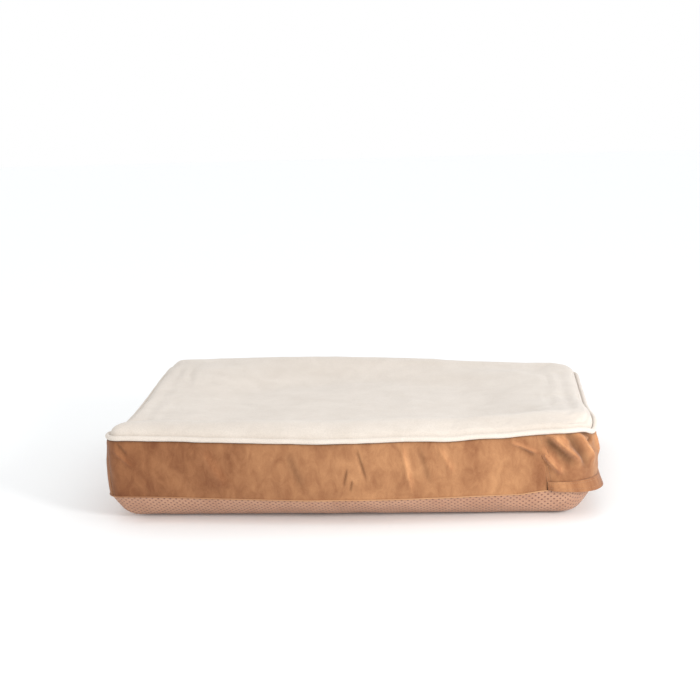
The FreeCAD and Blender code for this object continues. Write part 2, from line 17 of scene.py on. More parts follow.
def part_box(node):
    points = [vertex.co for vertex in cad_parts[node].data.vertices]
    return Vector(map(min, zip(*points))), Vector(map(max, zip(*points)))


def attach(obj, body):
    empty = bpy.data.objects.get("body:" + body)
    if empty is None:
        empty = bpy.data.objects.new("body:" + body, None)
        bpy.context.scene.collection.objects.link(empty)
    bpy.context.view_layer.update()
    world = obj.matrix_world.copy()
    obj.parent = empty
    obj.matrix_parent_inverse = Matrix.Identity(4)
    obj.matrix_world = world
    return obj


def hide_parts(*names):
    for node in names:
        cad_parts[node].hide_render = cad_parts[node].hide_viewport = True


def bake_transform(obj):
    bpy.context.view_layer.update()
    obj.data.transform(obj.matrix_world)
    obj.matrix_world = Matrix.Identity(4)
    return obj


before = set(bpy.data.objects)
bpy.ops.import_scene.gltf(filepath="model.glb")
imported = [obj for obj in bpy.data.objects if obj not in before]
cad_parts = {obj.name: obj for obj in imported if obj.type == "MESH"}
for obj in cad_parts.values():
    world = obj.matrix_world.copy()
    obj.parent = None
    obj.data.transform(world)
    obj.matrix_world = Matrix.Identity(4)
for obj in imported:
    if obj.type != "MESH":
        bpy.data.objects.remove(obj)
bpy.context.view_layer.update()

# ---- sizes, in metres ----

HALF_X, HALF_Y = 0.400, 0.300
LEFT_R, RIGHT_R = 0.026, 0.060
LOWER_SEAM, UPPER_SEAM = 0.046, 0.140
SWELL = 0.006
SWELL_R = ((UPPER_SEAM - LOWER_SEAM) ** 2 / 4 + SWELL**2) / (2 * SWELL)
PIPING_Z, PIPING_R = 0.1442, 0.0042
SEAM_X, ZIP_END_Y = 0.320, 0.230
ZIP_WALL_LOW, ZIP_ROOM = 0.055, 0.0174
FLAP_TOP, FLAP_THICK, FLAP_FLARE = 0.066, 0.002, math.radians(12)
FLAP_ROOT = 0.005541
FLAP_FRONT_DROP, FLAP_SIDE_DROP = 0.0140, 0.0185
ZIP_INSET, ZIP_Z = 0.0085, 0.046
COIL_GAP, COIL_WIDTH, COIL_HEIGHT = 0.0012, 0.0026, 0.0024
FRONT_BOW, BACK_BOW = 0.018, 0.004
SEAM_LEAN = 0.019
ZIP_CLIMB = 0.0136
DOT_PITCH = 0.0100
LOWEST_TOP, LOWEST_BASE = 0.1325, 0.0003
LINER_CLEARANCE = 0.0022

# the cloth simulation: its frames, and the most that it may move a point
CLOTH_FRAMES, CLOTH_CAP = 20, 0.007

# height of the crown and of the underside by inset from the outline
CROWN = [(0.005, 0.1466), (0.0068, 0.1535), (0.011, 0.1585), (0.019, 0.1625), (0.030, 0.1648),
         (0.044, 0.1657), (0.060, 0.1660), (0.400, 0.1660)]
UNDERSIDE = [(0.0, 0.046), (0.006, 0.0385), (0.012, 0.0308), (0.019, 0.0220), (0.027, 0.0132),
             (0.036, 0.0066), (0.046, 0.0034), (0.068, 0.0003), (0.4, 0.0003)]

LONG = 2 * HALF_X - LEFT_R - RIGHT_R
QUARTER_L, QUARTER_R = LEFT_R * math.pi / 4, RIGHT_R * math.pi / 4

# distances around the outline, anticlockwise from the middle of the front left corner
S_SEAM = QUARTER_L + SEAM_X + HALF_X - LEFT_R
S_FRONT_RIGHT = QUARTER_L + LONG + QUARTER_R
S_STRAIGHT = S_FRONT_RIGHT + QUARTER_R
S_ZIP_END = S_FRONT_RIGHT + QUARTER_R + ZIP_END_Y + HALF_Y - RIGHT_R
S_BACK_RIGHT = S_FRONT_RIGHT + 2 * QUARTER_R + 2 * HALF_Y - 2 * RIGHT_R
S_BACK_LEFT = S_BACK_RIGHT + QUARTER_R + LONG + QUARTER_L
S_TOTAL = S_BACK_LEFT + 2 * QUARTER_L + 2 * HALF_Y - 2 * LEFT_R

# stations of the coarse ring on each stretch of the outline
FRONT_COUNT, CORNER_COUNT, SIDE_COUNT, BACK_CORNER_COUNT = 118, 12, 80, 13
NX, NY = FRONT_COUNT + CORNER_COUNT, SIDE_COUNT + BACK_CORNER_COUNT
WALL_ROWS = 14


def smooth(low, high, value):
    """0 below low, 1 above high, and a smooth curve between them."""
    t = np.clip((np.asarray(value, float) - low) / (high - low), 0, 1)
    return t * t * (3 - 2 * t)


def bump(value, middle, width):
    return np.exp(-(((np.asarray(value, float) - middle) / width) ** 2))


def wander(points, scale, seed):
    """Smooth noise from -1 to 1 at each point, with features of about 1 / scale metres."""
    flat = np.asarray(points, float).reshape(-1, 3) * scale + seed
    found = np.array([noise.noise(Vector(p)) for p in flat])
    return found.reshape(np.shape(points)[:-1])


# ---- the outline ----


def outline(s):
    """Points on the outline and their outward directions, for distances walked around it."""
    s = np.mod(np.asarray(s, float), S_TOTAL)
    left, right = -HALF_X + LEFT_R, HALF_X - RIGHT_R
    low_l, low_r = -HALF_Y + LEFT_R, -HALF_Y + RIGHT_R
    runs = [
        ("arc", (left, low_l), LEFT_R, 225, 45),
        ("line", (left, -HALF_Y), (right, -HALF_Y)),
        ("arc", (right, low_r), RIGHT_R, 270, 90),
        ("line", (HALF_X, low_r), (HALF_X, -low_r)),
        ("arc", (right, -low_r), RIGHT_R, 0, 90),
        ("line", (right, HALF_Y), (left, HALF_Y)),
        ("arc", (left, -low_l), LEFT_R, 90, 90),
        ("line", (-HALF_X, -low_l), (-HALF_X, low_l)),
        ("arc", (left, low_l), LEFT_R, 180, 45),
    ]
    points, outward = np.zeros((*s.shape, 2)), np.zeros((*s.shape, 2))
    start = 0.0
    for kind, *rest in runs:
        if kind == "arc":
            centre, radius, first, sweep = rest
            length = radius * math.radians(sweep)
            angle = math.radians(first) + (s - start) / radius
            normal = np.stack([np.cos(angle), np.sin(angle)], -1)
            place = np.array(centre) + normal * radius
        else:
            begin, end = np.array(rest[0]), np.array(rest[1])
            length = float(np.linalg.norm(end - begin))
            along = (end - begin) / length
            place = begin + (s - start)[..., None] * along
            normal = np.broadcast_to([along[1], -along[0]], place.shape)
        here = (s >= start - 1e-12) & (s <= start + length + 1e-12)
        points[here], outward[here] = place[here], normal[here]
        start += length
    return points, outward


def edge_distance(x, y):
    """How far inside the outline a point is."""
    radius = np.where(x > 0, RIGHT_R, LEFT_R)
    qx, qy = np.abs(x) - HALF_X + radius, np.abs(y) - HALF_Y + radius
    outside = np.hypot(np.maximum(qx, 0), np.maximum(qy, 0))
    return radius - outside - np.minimum(np.maximum(qx, qy), 0)


def stations():
    """Distances around the outline at which the coarse patches have their points."""
    stops = [0, S_SEAM, S_FRONT_RIGHT, S_ZIP_END, S_BACK_RIGHT, S_BACK_LEFT, S_TOTAL]
    counts = [FRONT_COUNT, CORNER_COUNT, SIDE_COUNT, BACK_CORNER_COUNT, NX, NY]
    spans = zip(stops, stops[1:], counts)
    return np.concatenate([np.linspace(a, b, n, endpoint=False) for a, b, n in spans])


RING = stations()


# ---- how the sewn outline wanders from the plain one ----


def bow(s):
    """How far the wall stands out: the long sides are pushed out in their middles."""
    s = np.mod(s, S_TOTAL)
    front = np.sin(np.pi * np.clip(s / S_FRONT_RIGHT, 0, 1)) ** 2
    back = np.sin(np.pi * np.clip((s - S_BACK_RIGHT) / (S_BACK_LEFT - S_BACK_RIGHT), 0, 1)) ** 2
    return FRONT_BOW * front + BACK_BOW * back


def around(s, seed, wave):
    """Noise that closes on itself around the outline, with features of about wave metres."""
    points, _ = outline(s)
    spots = np.concatenate([points, np.zeros((*np.shape(s), 1))], -1)
    return wander(spots, 1 / wave, seed)


def front_sag(s):
    """Both long seams hang a little in the middle of the front."""
    return -0.0035 * np.sin(np.pi * np.clip(s / S_SEAM, 0, 1)) ** 2


def upper_rise(s):
    """How far the piping's seam stands above or below its plain height."""
    s = np.mod(s, S_TOTAL)
    lift = 0.0055 * smooth(S_SEAM - 0.12, S_FRONT_RIGHT - 0.03, s)
    lift *= 1 - smooth(S_STRAIGHT + 0.01, S_STRAIGHT + 0.13, s)
    droop = -0.0085 * bump(s, S_SEAM + 0.088, 0.020)
    sunk = -0.018 * smooth(S_STRAIGHT + 0.02, S_STRAIGHT + 0.24, s)
    sunk *= 1 - smooth(S_BACK_RIGHT + 0.10, S_BACK_RIGHT + 0.42, s)
    from_front = (S_TOTAL - s) / (S_TOTAL - S_BACK_LEFT)
    sunk += -0.015 * smooth(0.03, 0.22, from_front) * (1 - smooth(0.35, 0.95, from_front))
    dips = -0.0018 * bump(s, S_SEAM - 0.155, 0.028) - 0.0012 * bump(s, S_SEAM - 0.07, 0.02)
    small = 0.0011 * around(s, 3.7, 0.11) + 0.0006 * around(s, 9.1, 0.045)
    return front_sag(s) + lift + droop + sunk + dips + small


def corner_rise(s):
    """How far the base cloth climbs behind the flap at the right front corner."""
    s = np.mod(s, S_TOTAL)
    return 0.0055 * smooth(S_SEAM - 0.05, S_SEAM, s) * (1 - smooth(S_STRAIGHT, S_STRAIGHT + 0.03, s))


def lower_rise(s):
    """The same as upper_rise, for the seam between the walls and the underside."""
    s = np.mod(s, S_TOTAL)
    return front_sag(s) + corner_rise(s) + 0.0010 * around(s, 5.3, 0.13) + 0.0004 * around(s, 1.9, 0.05)


def sweep_mask(s, start, end, fade):
    """1 between two distances around the outline, fading to 0 beyond them."""
    s = np.mod(s, S_TOTAL)
    return smooth(start - fade, start, s) * (1 - smooth(end, end + fade, s))


# ---- grids ----


def coons(values):
    """A grid with these values along its edges: values has one row for each station of the ring."""
    front = values[: NX + 1]
    right = values[NX : NX + NY + 1]
    back = values[NX + NY : 2 * NX + NY + 1][::-1]
    left = np.concatenate([values[2 * NX + NY :], values[:1]])[::-1]
    u = np.linspace(0, 1, NX + 1)[:, None, None]
    v = np.linspace(0, 1, NY + 1)[None, :, None]
    across = (1 - v) * front[:, None] + v * back[:, None]
    along = (1 - u) * left[None] + u * right[None]
    corners = (
        (1 - u) * (1 - v) * front[0] + u * (1 - v) * front[-1] + (1 - u) * v * back[0] + u * v * back[-1]
    )
    return across + along - corners


def crown_height(inset, x, y):
    """The sleeping surface: a padded rim around the hollow a lying pet leaves, flatter at both sides."""
    heights = np.interp(inset, *zip(*CROWN))
    reach = np.hypot((x + 0.010) / 0.400, np.maximum(y, 0) / 0.285)
    hollow = 0.0280 * smooth(0.044, 0.135, y + HALF_Y) * (1 - smooth(0.50, 1.0, reach))
    sides = 1 - smooth(-0.385, -0.315, x) * (1 - smooth(0.315, 0.385, x))
    middle = smooth(-0.270, -0.200, y) * (1 - smooth(0.16, 0.26, y))
    worn = 0.013 * sides * smooth(0.010, 0.045, inset) * middle
    sunk = 0.016 * smooth(0.05, 0.38, x) * smooth(0.0, 0.27, y) * smooth(0.030, 0.10, inset)
    return np.maximum(heights - hollow - worn - sunk, LOWEST_TOP)


def top_patch():
    points, outward = outline(RING)
    ring = points - outward * CROWN[0][0]
    plain = coons(ring)
    x, y = plain[..., 0], plain[..., 1]
    inset = edge_distance(x, y)
    shift = coons(outward * bow(RING)[:, None]) * (1 - smooth(0.0, 0.2, inset))[..., None]
    rise = coons(upper_rise(RING)[:, None])[..., 0] * (1 - 0.75 * smooth(0.02, 0.15, inset))
    z = crown_height(inset, x, y) + rise
    grid = np.concatenate([plain + shift, z[..., None]], -1)
    hold = np.where(inset < 0.0075, 1.0, 0.02 + 0.28 * smooth(0.03, 0.09, inset))
    slack = 0.10 + 0.55 * (1 - smooth(0.01, 0.07, inset))
    return {"name": "top", "grid": grid, "inset": inset, "plain": plain, "hold": hold, "slack": slack}


def underside_patch():
    points, outward = outline(RING)
    in_zip = smooth(S_STRAIGHT + 0.002, S_STRAIGHT + 0.012, RING) * (RING <= S_ZIP_END + 1e-6)
    ring = points - outward * (ZIP_ROOM * in_zip)[:, None]
    plain = coons(ring)[:, ::-1]
    x, y = plain[..., 0], plain[..., 1]
    inset = np.maximum(edge_distance(x, y), 0)
    shift = coons(outward * bow(RING)[:, None])[:, ::-1] * (1 - smooth(0.0, 0.06, inset))[..., None]
    rise = coons(lower_rise(RING)[:, None])[:, ::-1, 0] * (1 - smooth(0.0, 0.03, inset))
    climb = coons((ZIP_CLIMB * in_zip)[:, None])[:, ::-1, 0] * bump(inset, ZIP_ROOM, 0.008)
    z = np.interp(inset, *zip(*UNDERSIDE)) + rise + climb
    grid = np.concatenate([plain + shift, z[..., None]], -1)
    edge = np.zeros(inset.shape, bool)
    edge[[0, -1]] = edge[:, [0, -1]] = True
    hold = np.where(edge | (inset > 0.070), 1.0, 0.0)
    slack = 0.35 * np.ones(inset.shape)
    return {"name": "underside", "grid": grid, "inset": inset, "plain": plain, "hold": hold, "slack": slack}


def wall_swell(z):
    """How far the CAD walls bulge out at a height."""
    return np.sqrt(SWELL_R**2 - (z - (LOWER_SEAM + UPPER_SEAM) / 2) ** 2) - SWELL_R + SWELL


def wall_patch(name, first, last, low, slack, lean=0.0):
    """A stretch of side wall between two stations of the ring. lean moves its left end further left at
    the top, as on a seam that is pulled askew. Its right end stays upright."""
    s = np.concatenate([RING, [S_TOTAL]])[first : last + 1]
    t = np.linspace(0, 1, WALL_ROWS + 1)[:, None]
    shape = (WALL_ROWS + 1, len(s))
    walked = np.broadcast_to(s, shape).copy()
    walked -= lean * (1 - t) ** 1.4 * (1 - smooth(s[0], s[-1], s))
    climb = lower_rise(s) - (corner_rise(s) if low > LOWER_SEAM else 0)
    top, bottom = UPPER_SEAM + upper_rise(walked[0]), low + climb
    z = top + (bottom - top) * t
    plain_z = np.broadcast_to(UPPER_SEAM + (low - UPPER_SEAM) * t, shape).copy()
    points, outward = outline(walked)
    pull = 1 - 0.75 * (bump(s, s[0], 0.009) + bump(s, s[-1], 0.009))
    out = wall_swell(plain_z) * 0.62 * pull + bow(walked)
    grid = np.concatenate([points + outward * out[..., None], z[..., None]], -1)
    hold = np.zeros(shape)
    hold[[0, -1]] = hold[:, [0, -1]] = 1
    return {
        "name": name, "grid": grid, "s": walked, "z": plain_z, "low": low, "hold": hold,
        "slack": slack(walked),
    }


def even_slack(s):
    """Spare cloth in a plain wall."""
    return 0.30 + 0.12 * around(s, 4.4, 0.2)


def corner_slack(s):
    """Spare cloth in the wall over the zip, most of it near the right front corner."""
    return 0.35 + 0.45 * (1 - smooth(0.0, 0.16, np.abs(s - S_SEAM - 0.05)))


def cover_patches():
    a, b, c, d = FRONT_COUNT, NX + SIDE_COUNT, 2 * NX + NY, 2 * NX + 2 * NY
    return [
        top_patch(),
        wall_patch("front", 0, a, LOWER_SEAM, even_slack, SEAM_LEAN),
        wall_patch("zip_side", a, b, ZIP_WALL_LOW, corner_slack, SEAM_LEAN),
        wall_patch("back", b, c, LOWER_SEAM, even_slack),
        wall_patch("left", c, d, LOWER_SEAM, even_slack),
        underside_patch(),
    ]


# ---- cloth simulation ----


def grid_faces(rows, columns, start=0, wrap=False):
    """Quads of a grid whose point (i, j) has the index start + i * columns + j."""
    i = np.arange(rows - 1)[:, None]
    j = np.arange(columns if wrap else columns - 1)[None]
    k = (j + 1) % columns
    quads = np.stack([i * columns + j, (i + 1) * columns + j, (i + 1) * columns + k, i * columns + k], -1)
    return quads.reshape(-1, 4) + start


def new_mesh(name, points, faces):
    faces = faces.tolist() if isinstance(faces, np.ndarray) else faces
    mesh = bpy.data.meshes.new(name)
    mesh.from_pydata(np.asarray(points, float).reshape(-1, 3).tolist(), [], faces)
    mesh.update()
    return mesh


def link(obj):
    bpy.context.scene.collection.objects.link(obj)
    return obj


def weigh(obj, name, weights):
    group = obj.vertex_groups.new(name=name)
    for index, weight in enumerate(weights):
        group.add([index], float(weight), "REPLACE")


def inflate(patches):
    """Runs one cloth simulation on all patches, with their seams held, and moves their points."""
    points, faces, count = [], [], 0
    for patch in patches:
        rows, columns = patch["grid"].shape[:2]
        points.append(patch["grid"].reshape(-1, 3))
        faces.append(grid_faces(rows, columns, count))
        count += rows * columns
    start = np.concatenate(points)
    obj = link(bpy.data.objects.new("cloth", new_mesh("cloth", start, np.concatenate(faces))))
    weigh(obj, "hold", np.concatenate([p["hold"].ravel() for p in patches]))
    weigh(obj, "slack", np.concatenate([p["slack"].ravel() for p in patches]))
    cloth = obj.modifiers.new("cloth", "CLOTH")
    settings = cloth.settings
    settings.quality = 5
    settings.mass = 0.25
    settings.air_damping = 2
    settings.tension_stiffness = settings.compression_stiffness = 30
    settings.shear_stiffness = 12
    settings.bending_stiffness = 0.6
    settings.use_pressure = True
    settings.uniform_pressure_force = 4
    settings.vertex_group_mass = "hold"
    settings.vertex_group_shrink = "slack"
    settings.shrink_min = 0.0
    settings.shrink_max = -0.035
    settings.effector_weights.gravity = 0
    cloth.collision_settings.use_collision = False
    cloth.collision_settings.use_self_collision = False
    for number in range(1, CLOTH_FRAMES + 1):
        bpy.context.scene.frame_set(number)
    settled = obj.evaluated_get(bpy.context.evaluated_depsgraph_get())
    moved = np.zeros(count * 3)
    settled.data.vertices.foreach_get("co", moved)
    bpy.data.objects.remove(obj)
    bpy.context.scene.frame_set(1)
    step = moved.reshape(-1, 3) - start
    length = np.linalg.norm(step, axis=1, keepdims=True)
    step *= CLOTH_CAP * np.tanh(length / CLOTH_CAP) / np.maximum(length, 1e-9)
    spot = 0
    for patch in patches:
        size = patch["hold"].size
        patch["grid"] = patch["grid"] + step[spot : spot + size].reshape(patch["grid"].shape)
        spot += size


# ---- refining and folds ----


def doubled(values, axis):
    """Twice as many steps along an axis, on a smooth curve through the old values."""
    old = np.moveaxis(values, axis, 0)
    padded = np.concatenate([2 * old[:1] - old[1:2], old, 2 * old[-1:] - old[-2:-1]])
    middle = (9 * (padded[1:-2] + padded[2:-1]) - padded[:-3] - padded[3:]) / 16
    new = np.empty((2 * len(old) - 1, *old.shape[1:]))
    new[::2], new[1::2] = old, middle
    return np.moveaxis(new, 0, axis)


def refine(patch, times):
    for _ in range(times):
        for key in ("grid", "s", "z", "inset", "plain", "slack"):
            if key in patch:
                patch[key] = doubled(doubled(patch[key], 0), 1)


def normals(grid):
    along, across = np.gradient(grid, axis=0), np.gradient(grid, axis=1)
    found = np.cross(along, across)
    return found / np.maximum(np.linalg.norm(found, axis=-1, keepdims=True), 1e-12)


def ridge(a, b, start, end, width, height):
    """A ridge, or a valley if height is below 0, along a line on a wall from start to end, each given
    as (s, z). It is highest in the middle and fades at its ends."""
    run = np.array(end) - np.array(start)
    length = float(np.hypot(*run))
    ax, ay = run / length
    da, db = a - start[0], b - start[1]
    along, off = (da * ax + db * ay) / length, da * ay - db * ax
    fade = smooth(-0.12, 0.25, along) * (1 - smooth(0.70, 1.12, along))
    return height * fade * np.exp(-((off / width) ** 2))


# folds on the walls: start and end as (distance right of the zip corner's seam, height), width, height
FOLDS = [
    ((-0.060, 0.134), (-0.017, 0.112), 0.0036, 0.0052),
    ((-0.050, 0.126), (-0.020, 0.106), 0.0040, -0.0030),
    ((-0.008, 0.136), (0.042, 0.090), 0.0066, -0.0056),
    ((0.000, 0.144), (0.056, 0.094), 0.0050, 0.0096),
    ((-0.010, 0.116), (0.022, 0.080), 0.0054, 0.0088),
    ((0.016, 0.142), (0.036, 0.124), 0.0034, 0.0040),
    ((0.029, 0.142), (0.068, 0.084), 0.0070, -0.0056),
    ((0.046, 0.143), (0.082, 0.092), 0.0050, 0.0092),
    ((0.051, 0.140), (0.080, 0.134), 0.0028, -0.0050),
    ((0.080, 0.134), (0.063, 0.119), 0.0024, -0.0050),
    ((0.092, 0.138), (0.110, 0.098), 0.0060, 0.0040),
    ((-0.322, 0.098), (-0.328, 0.070), 0.0018, -0.0034),
    ((-0.314, 0.080), (-0.318, 0.060), 0.0018, -0.0032),
    ((-0.306, 0.131), (-0.292, 0.082), 0.0022, -0.0032),
    ((-0.232, 0.134), (-0.218, 0.059), 0.0050, 0.0034),
    ((-0.206, 0.129), (-0.190, 0.072), 0.0050, -0.0022),
    ((-0.172, 0.131), (-0.150, 0.087), 0.0050, 0.0024),
    ((-0.700, 0.136), (-0.684, 0.117), 0.0024, -0.0026),
    ((-0.704, 0.125), (-0.676, 0.099), 0.0034, 0.0022),
    ((-0.560, 0.128), (-0.520, 0.070), 0.0090, 0.0022),
    ((-0.420, 0.124), (-0.396, 0.066), 0.0080, -0.0020),
]


def shape_wall(patch):
    s, z, low, grid = patch["s"], patch["z"], patch["low"], patch["grid"]
    folds = np.zeros(z.shape)
    for start, end, width, rise in FOLDS:
        folds += ridge(s - S_SEAM, z, start, end, width, rise)
    height = folds + 0.0009 * wander(grid, 22, 2.0) + 0.0005 * wander(grid, 62, 7.0)
    near_top = np.exp(-(UPPER_SEAM - z) / 0.012)
    near_low = np.exp(-(z - low) / 0.010)
    busy = 0.55 + 0.9 * sweep_mask(s, S_SEAM - 0.05, S_SEAM + 0.13, 0.05)
    height += 0.0011 * busy * (near_top + 0.7 * near_low) * around(s, 6.2, 0.011)
    ends = bump(s, s.min(), 0.010) + bump(s, s.max(), 0.010)
    spots = np.stack([s * 0, z, s * 0], -1)
    height += 0.0010 * ends * wander(spots, 110, 8.8)
    inner = smooth(0.0, 0.004, UPPER_SEAM - z) * smooth(0.0, 0.003, z - low)
    outside = -edge_distance(grid[..., 0], grid[..., 1])
    height = np.maximum(height * inner, -np.maximum(outside + LINER_CLEARANCE, 0))
    # painted light for the suede, kept as the crease attribute: painted shade in fold valleys, a painted
    # shadow line just under the piping, painted highlight on ridges, and darker lines along the upright
    # seams
    seam_line = 0.80 * (bump(s, s.min(), 0.0018) + bump(s, s.max(), 0.0018))
    shadow_under_piping = 0.75 * np.exp(-(UPPER_SEAM - z) / 0.0016)
    patch["crease"] = np.clip(0.40 - folds / 0.010 + seam_line + shadow_under_piping, 0, 1.2)
    return grid + normals(grid) * height[..., None]


def around_grid(patch, wave, seed):
    """Noise that runs across the nearest edge, so that it puckers the cloth along the seam."""
    plain = patch["plain"]
    x, y = plain[..., 0], plain[..., 1]
    scale = np.maximum(np.abs(x) / HALF_X, np.abs(y) / HALF_Y)
    to_edge = np.stack([x / np.maximum(scale, 0.05), y / np.maximum(scale, 0.05), 0 * x], -1)
    return wander(to_edge, 1 / wave, seed)


def facing(grid, up):
    """The grid's normals, turned to point up if up is 1 and down if it is -1."""
    found = normals(grid)
    return found * (up * np.sign(found[..., 2].mean()))


def shape_top(patch):
    grid, inset = patch["grid"], patch["inset"]
    height = 0.0011 * wander(grid, 13, 4.0) + 0.0005 * wander(grid, 38, 9.0)
    height += 0.0012 * around_grid(patch, 0.016, 6.6) * np.exp(-inset / 0.014)
    x, y = patch["plain"][..., 0], patch["plain"][..., 1]
    crease = bump(inset, 0.0115, 0.0022) * smooth(0.335, 0.36, x) * (1 - smooth(0.385, 0.40, x)) * (y < 0)
    height -= 0.0026 * crease
    return grid + facing(grid, 1) * (height * smooth(0.006, 0.010, inset))[..., None]


def shape_underside(patch):
    grid, inset = patch["grid"], patch["inset"]
    height = 0.0010 * wander(grid, 20, 5.0) * smooth(0.0, 0.02, inset) * (1 - smooth(0.06, 0.08, inset))
    pucker = around_grid(patch, 0.020, 1.3) * (np.exp(-inset / 0.012) + 0.8 * bump(inset, 0.060, 0.014))
    height += 0.0016 * pucker * smooth(0.0, 0.004, inset)
    out = grid + facing(grid, -1) * height[..., None]
    out[..., 2] = np.maximum(out[..., 2], LOWEST_BASE)
    return out


# ---- making pieces ----


def piece(name, mesh, material, body="cover"):
    obj = link(bpy.data.objects.new(name, mesh))
    obj.data.materials.append(material)
    mesh.shade_smooth()
    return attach(obj, body) if body else obj


def add_uv(mesh, coordinates):
    """A UV map in metres, from one coordinate pair for each vertex."""
    layer = mesh.uv_layers.new(name="cloth")
    corners = np.zeros(len(mesh.loops), int)
    mesh.loops.foreach_get("vertex_index", corners)
    layer.data.foreach_set("uv", np.asarray(coordinates, float).reshape(-1, 2)[corners].ravel())


def add_fold_shade(mesh, values):
    """How deep in a fold each vertex lies: 0 on a ridge, 0.4 on plain cloth, 1 in a valley, and more along
    the upright seams and just under the piping. The suede paints shade and highlight from it.
    """
    layer = mesh.attributes.new("crease", "FLOAT", "POINT")
    layer.data.foreach_set("value", np.asarray(values, float).ravel())


def grid_piece(name, grid, uv, material):
    mesh = new_mesh(name, grid, grid_faces(*grid.shape[:2]))
    add_uv(mesh, uv)
    return piece(name, mesh, material)


def tube(name, line, radius, material, closed=False, sides=12):
    """A round strip along a line of points."""
    line = np.asarray(line, float)
    if closed:
        along = np.roll(line, -1, 0) - np.roll(line, 1, 0)
    else:
        along = np.gradient(line, axis=0)
    along /= np.linalg.norm(along, axis=1, keepdims=True)
    side = np.cross(along, [0.0, 0.0, 1.0])
    steep = np.linalg.norm(side, axis=1) < 0.2
    side[steep] = np.cross(along[steep], [1.0, 0.0, 0.0])
    side /= np.linalg.norm(side, axis=1, keepdims=True)
    up = np.cross(side, along)
    turn = np.linspace(0, 2 * np.pi, sides, endpoint=False)
    radius = np.broadcast_to(np.asarray(radius, float), (len(line),))[:, None, None]
    ring = line[:, None] + radius * (
        np.cos(turn)[None, :, None] * side[:, None] + np.sin(turn)[None, :, None] * up[:, None]
    )
    rows = len(line)
    if closed:
        ring = np.concatenate([ring, ring[:1]])
        rows += 1
    faces = grid_faces(rows, sides, wrap=True)
    length = np.concatenate([[0], np.cumsum(np.linalg.norm(np.diff(ring[:, 0], axis=0), axis=1))])
    uv = np.stack(np.broadcast_arrays(length[:, None], turn[None] * float(radius.mean())), -1)
    mesh = new_mesh(name, ring, faces)
    add_uv(mesh, uv)
    return piece(name, mesh, material)


# ---- materials ----


class Paint:
    """A material while it is built: its nodes feed one Principled shader."""

    def __init__(self, name, **sockets):
        self.material = bpy.data.materials.new(name)
        self.material.use_nodes = True
        self.nodes = self.material.node_tree.nodes
        self.links = self.material.node_tree.links
        self.shader = self.nodes["Principled BSDF"]
        for socket, value in sockets.items():
            self.shader.inputs[socket.replace("_", " ")].default_value = value

    def add(self, kind, settings=(), **inputs):
        node = self.nodes.new("ShaderNode" + kind)
        for key, value in dict(settings).items():
            setattr(node, key, value)
        for name, value in inputs.items():
            self.feed(node.inputs[name.replace("_", " ")], value)
        return node

    def feed(self, socket, value):
        if isinstance(value, bpy.types.NodeSocket):
            self.links.new(value, socket)
        else:
            socket.default_value = value

    def place(self, scale=(1, 1, 1), uv=False):
        """Where the surface is, stretched by scale: in the row frame, or on the cloth's own map."""
        source = self.add("TexCoord").outputs["UV" if uv else "Object"]
        return self.add("Mapping", Vector=source, Scale=scale).outputs[0]

    def noise(self, place, scale, detail=3.0, roughness=0.55, distortion=0.0):
        found = self.add(
            "TexNoise", Vector=place, Scale=scale, Detail=detail, Roughness=roughness, Distortion=distortion
        )
        return found.outputs[0]

    def range(self, value, low, high, to_low=0.0, to_high=1.0):
        node = self.add("MapRange", Value=value)
        for name, number in (("From Min", low), ("From Max", high), ("To Min", to_low), ("To Max", to_high)):
            node.inputs[name].default_value = number
        return node.outputs[0]

    def maths(self, operation, a, b=0.0):
        node = self.add("Math", {"operation": operation})
        self.feed(node.inputs[0], a)
        self.feed(node.inputs[1], b)
        return node.outputs[0]

    def mix(self, factor, a, b, how="MIX"):
        node = self.add("Mix", {"data_type": "RGBA", "blend_type": how, "clamp_factor": True})
        self.feed(node.inputs[0], factor)
        self.feed(node.inputs[6], a)
        self.feed(node.inputs[7], b)
        return node.outputs[2]

    def colour(self, value):
        self.feed(self.shader.inputs["Base Color"], value)

    def rough(self, value):
        self.feed(self.shader.inputs["Roughness"], value)

    def raise_by(self, *layers):
        """Bump from layers of (height socket, distance in metres, strength)."""
        normal = None
        for height, distance, strength in layers:
            node = self.add("Bump", Height=height, Distance=distance, Strength=strength)
            if normal is not None:
                self.links.new(normal, node.inputs["Normal"])
            normal = node.outputs[0]
        self.links.new(normal, self.shader.inputs["Normal"])


def rgb(red, green, blue):
    return (red, green, blue, 1.0)


def plush_material(name, light, dark, depth=1.0):
    """Short dense pile: soft patches where it leans, and a fine grain of tufts."""
    paint = Paint(name, Sheen_Weight=0.35, Sheen_Roughness=0.6, Specular_IOR_Level=0.15)
    place = paint.place()
    patches = paint.noise(place, 22, 4, 0.6, 0.4)
    tufts = paint.noise(place, 620, 3, 0.7)
    fibres = paint.noise(place, 2100, 2, 0.6)
    tone = paint.mix(paint.range(patches, 0.35, 0.68), dark, light)
    shade = paint.range(tufts, 0.30, 0.72, 0.86, 1.04)
    paint.colour(paint.mix(1.0, tone, shade, "MULTIPLY"))
    paint.rough(paint.range(tufts, 0.3, 0.7, 0.98, 0.84))
    paint.raise_by((patches, 0.002 * depth, 0.35), (tufts, 0.0011 * depth, 0.7), (fibres, 0.0004, 0.5))
    return paint.material


def split_x(paint):
    """How far right a point of the surface is, in metres."""
    return paint.add("SeparateXYZ", Vector=paint.place()).outputs["X"]


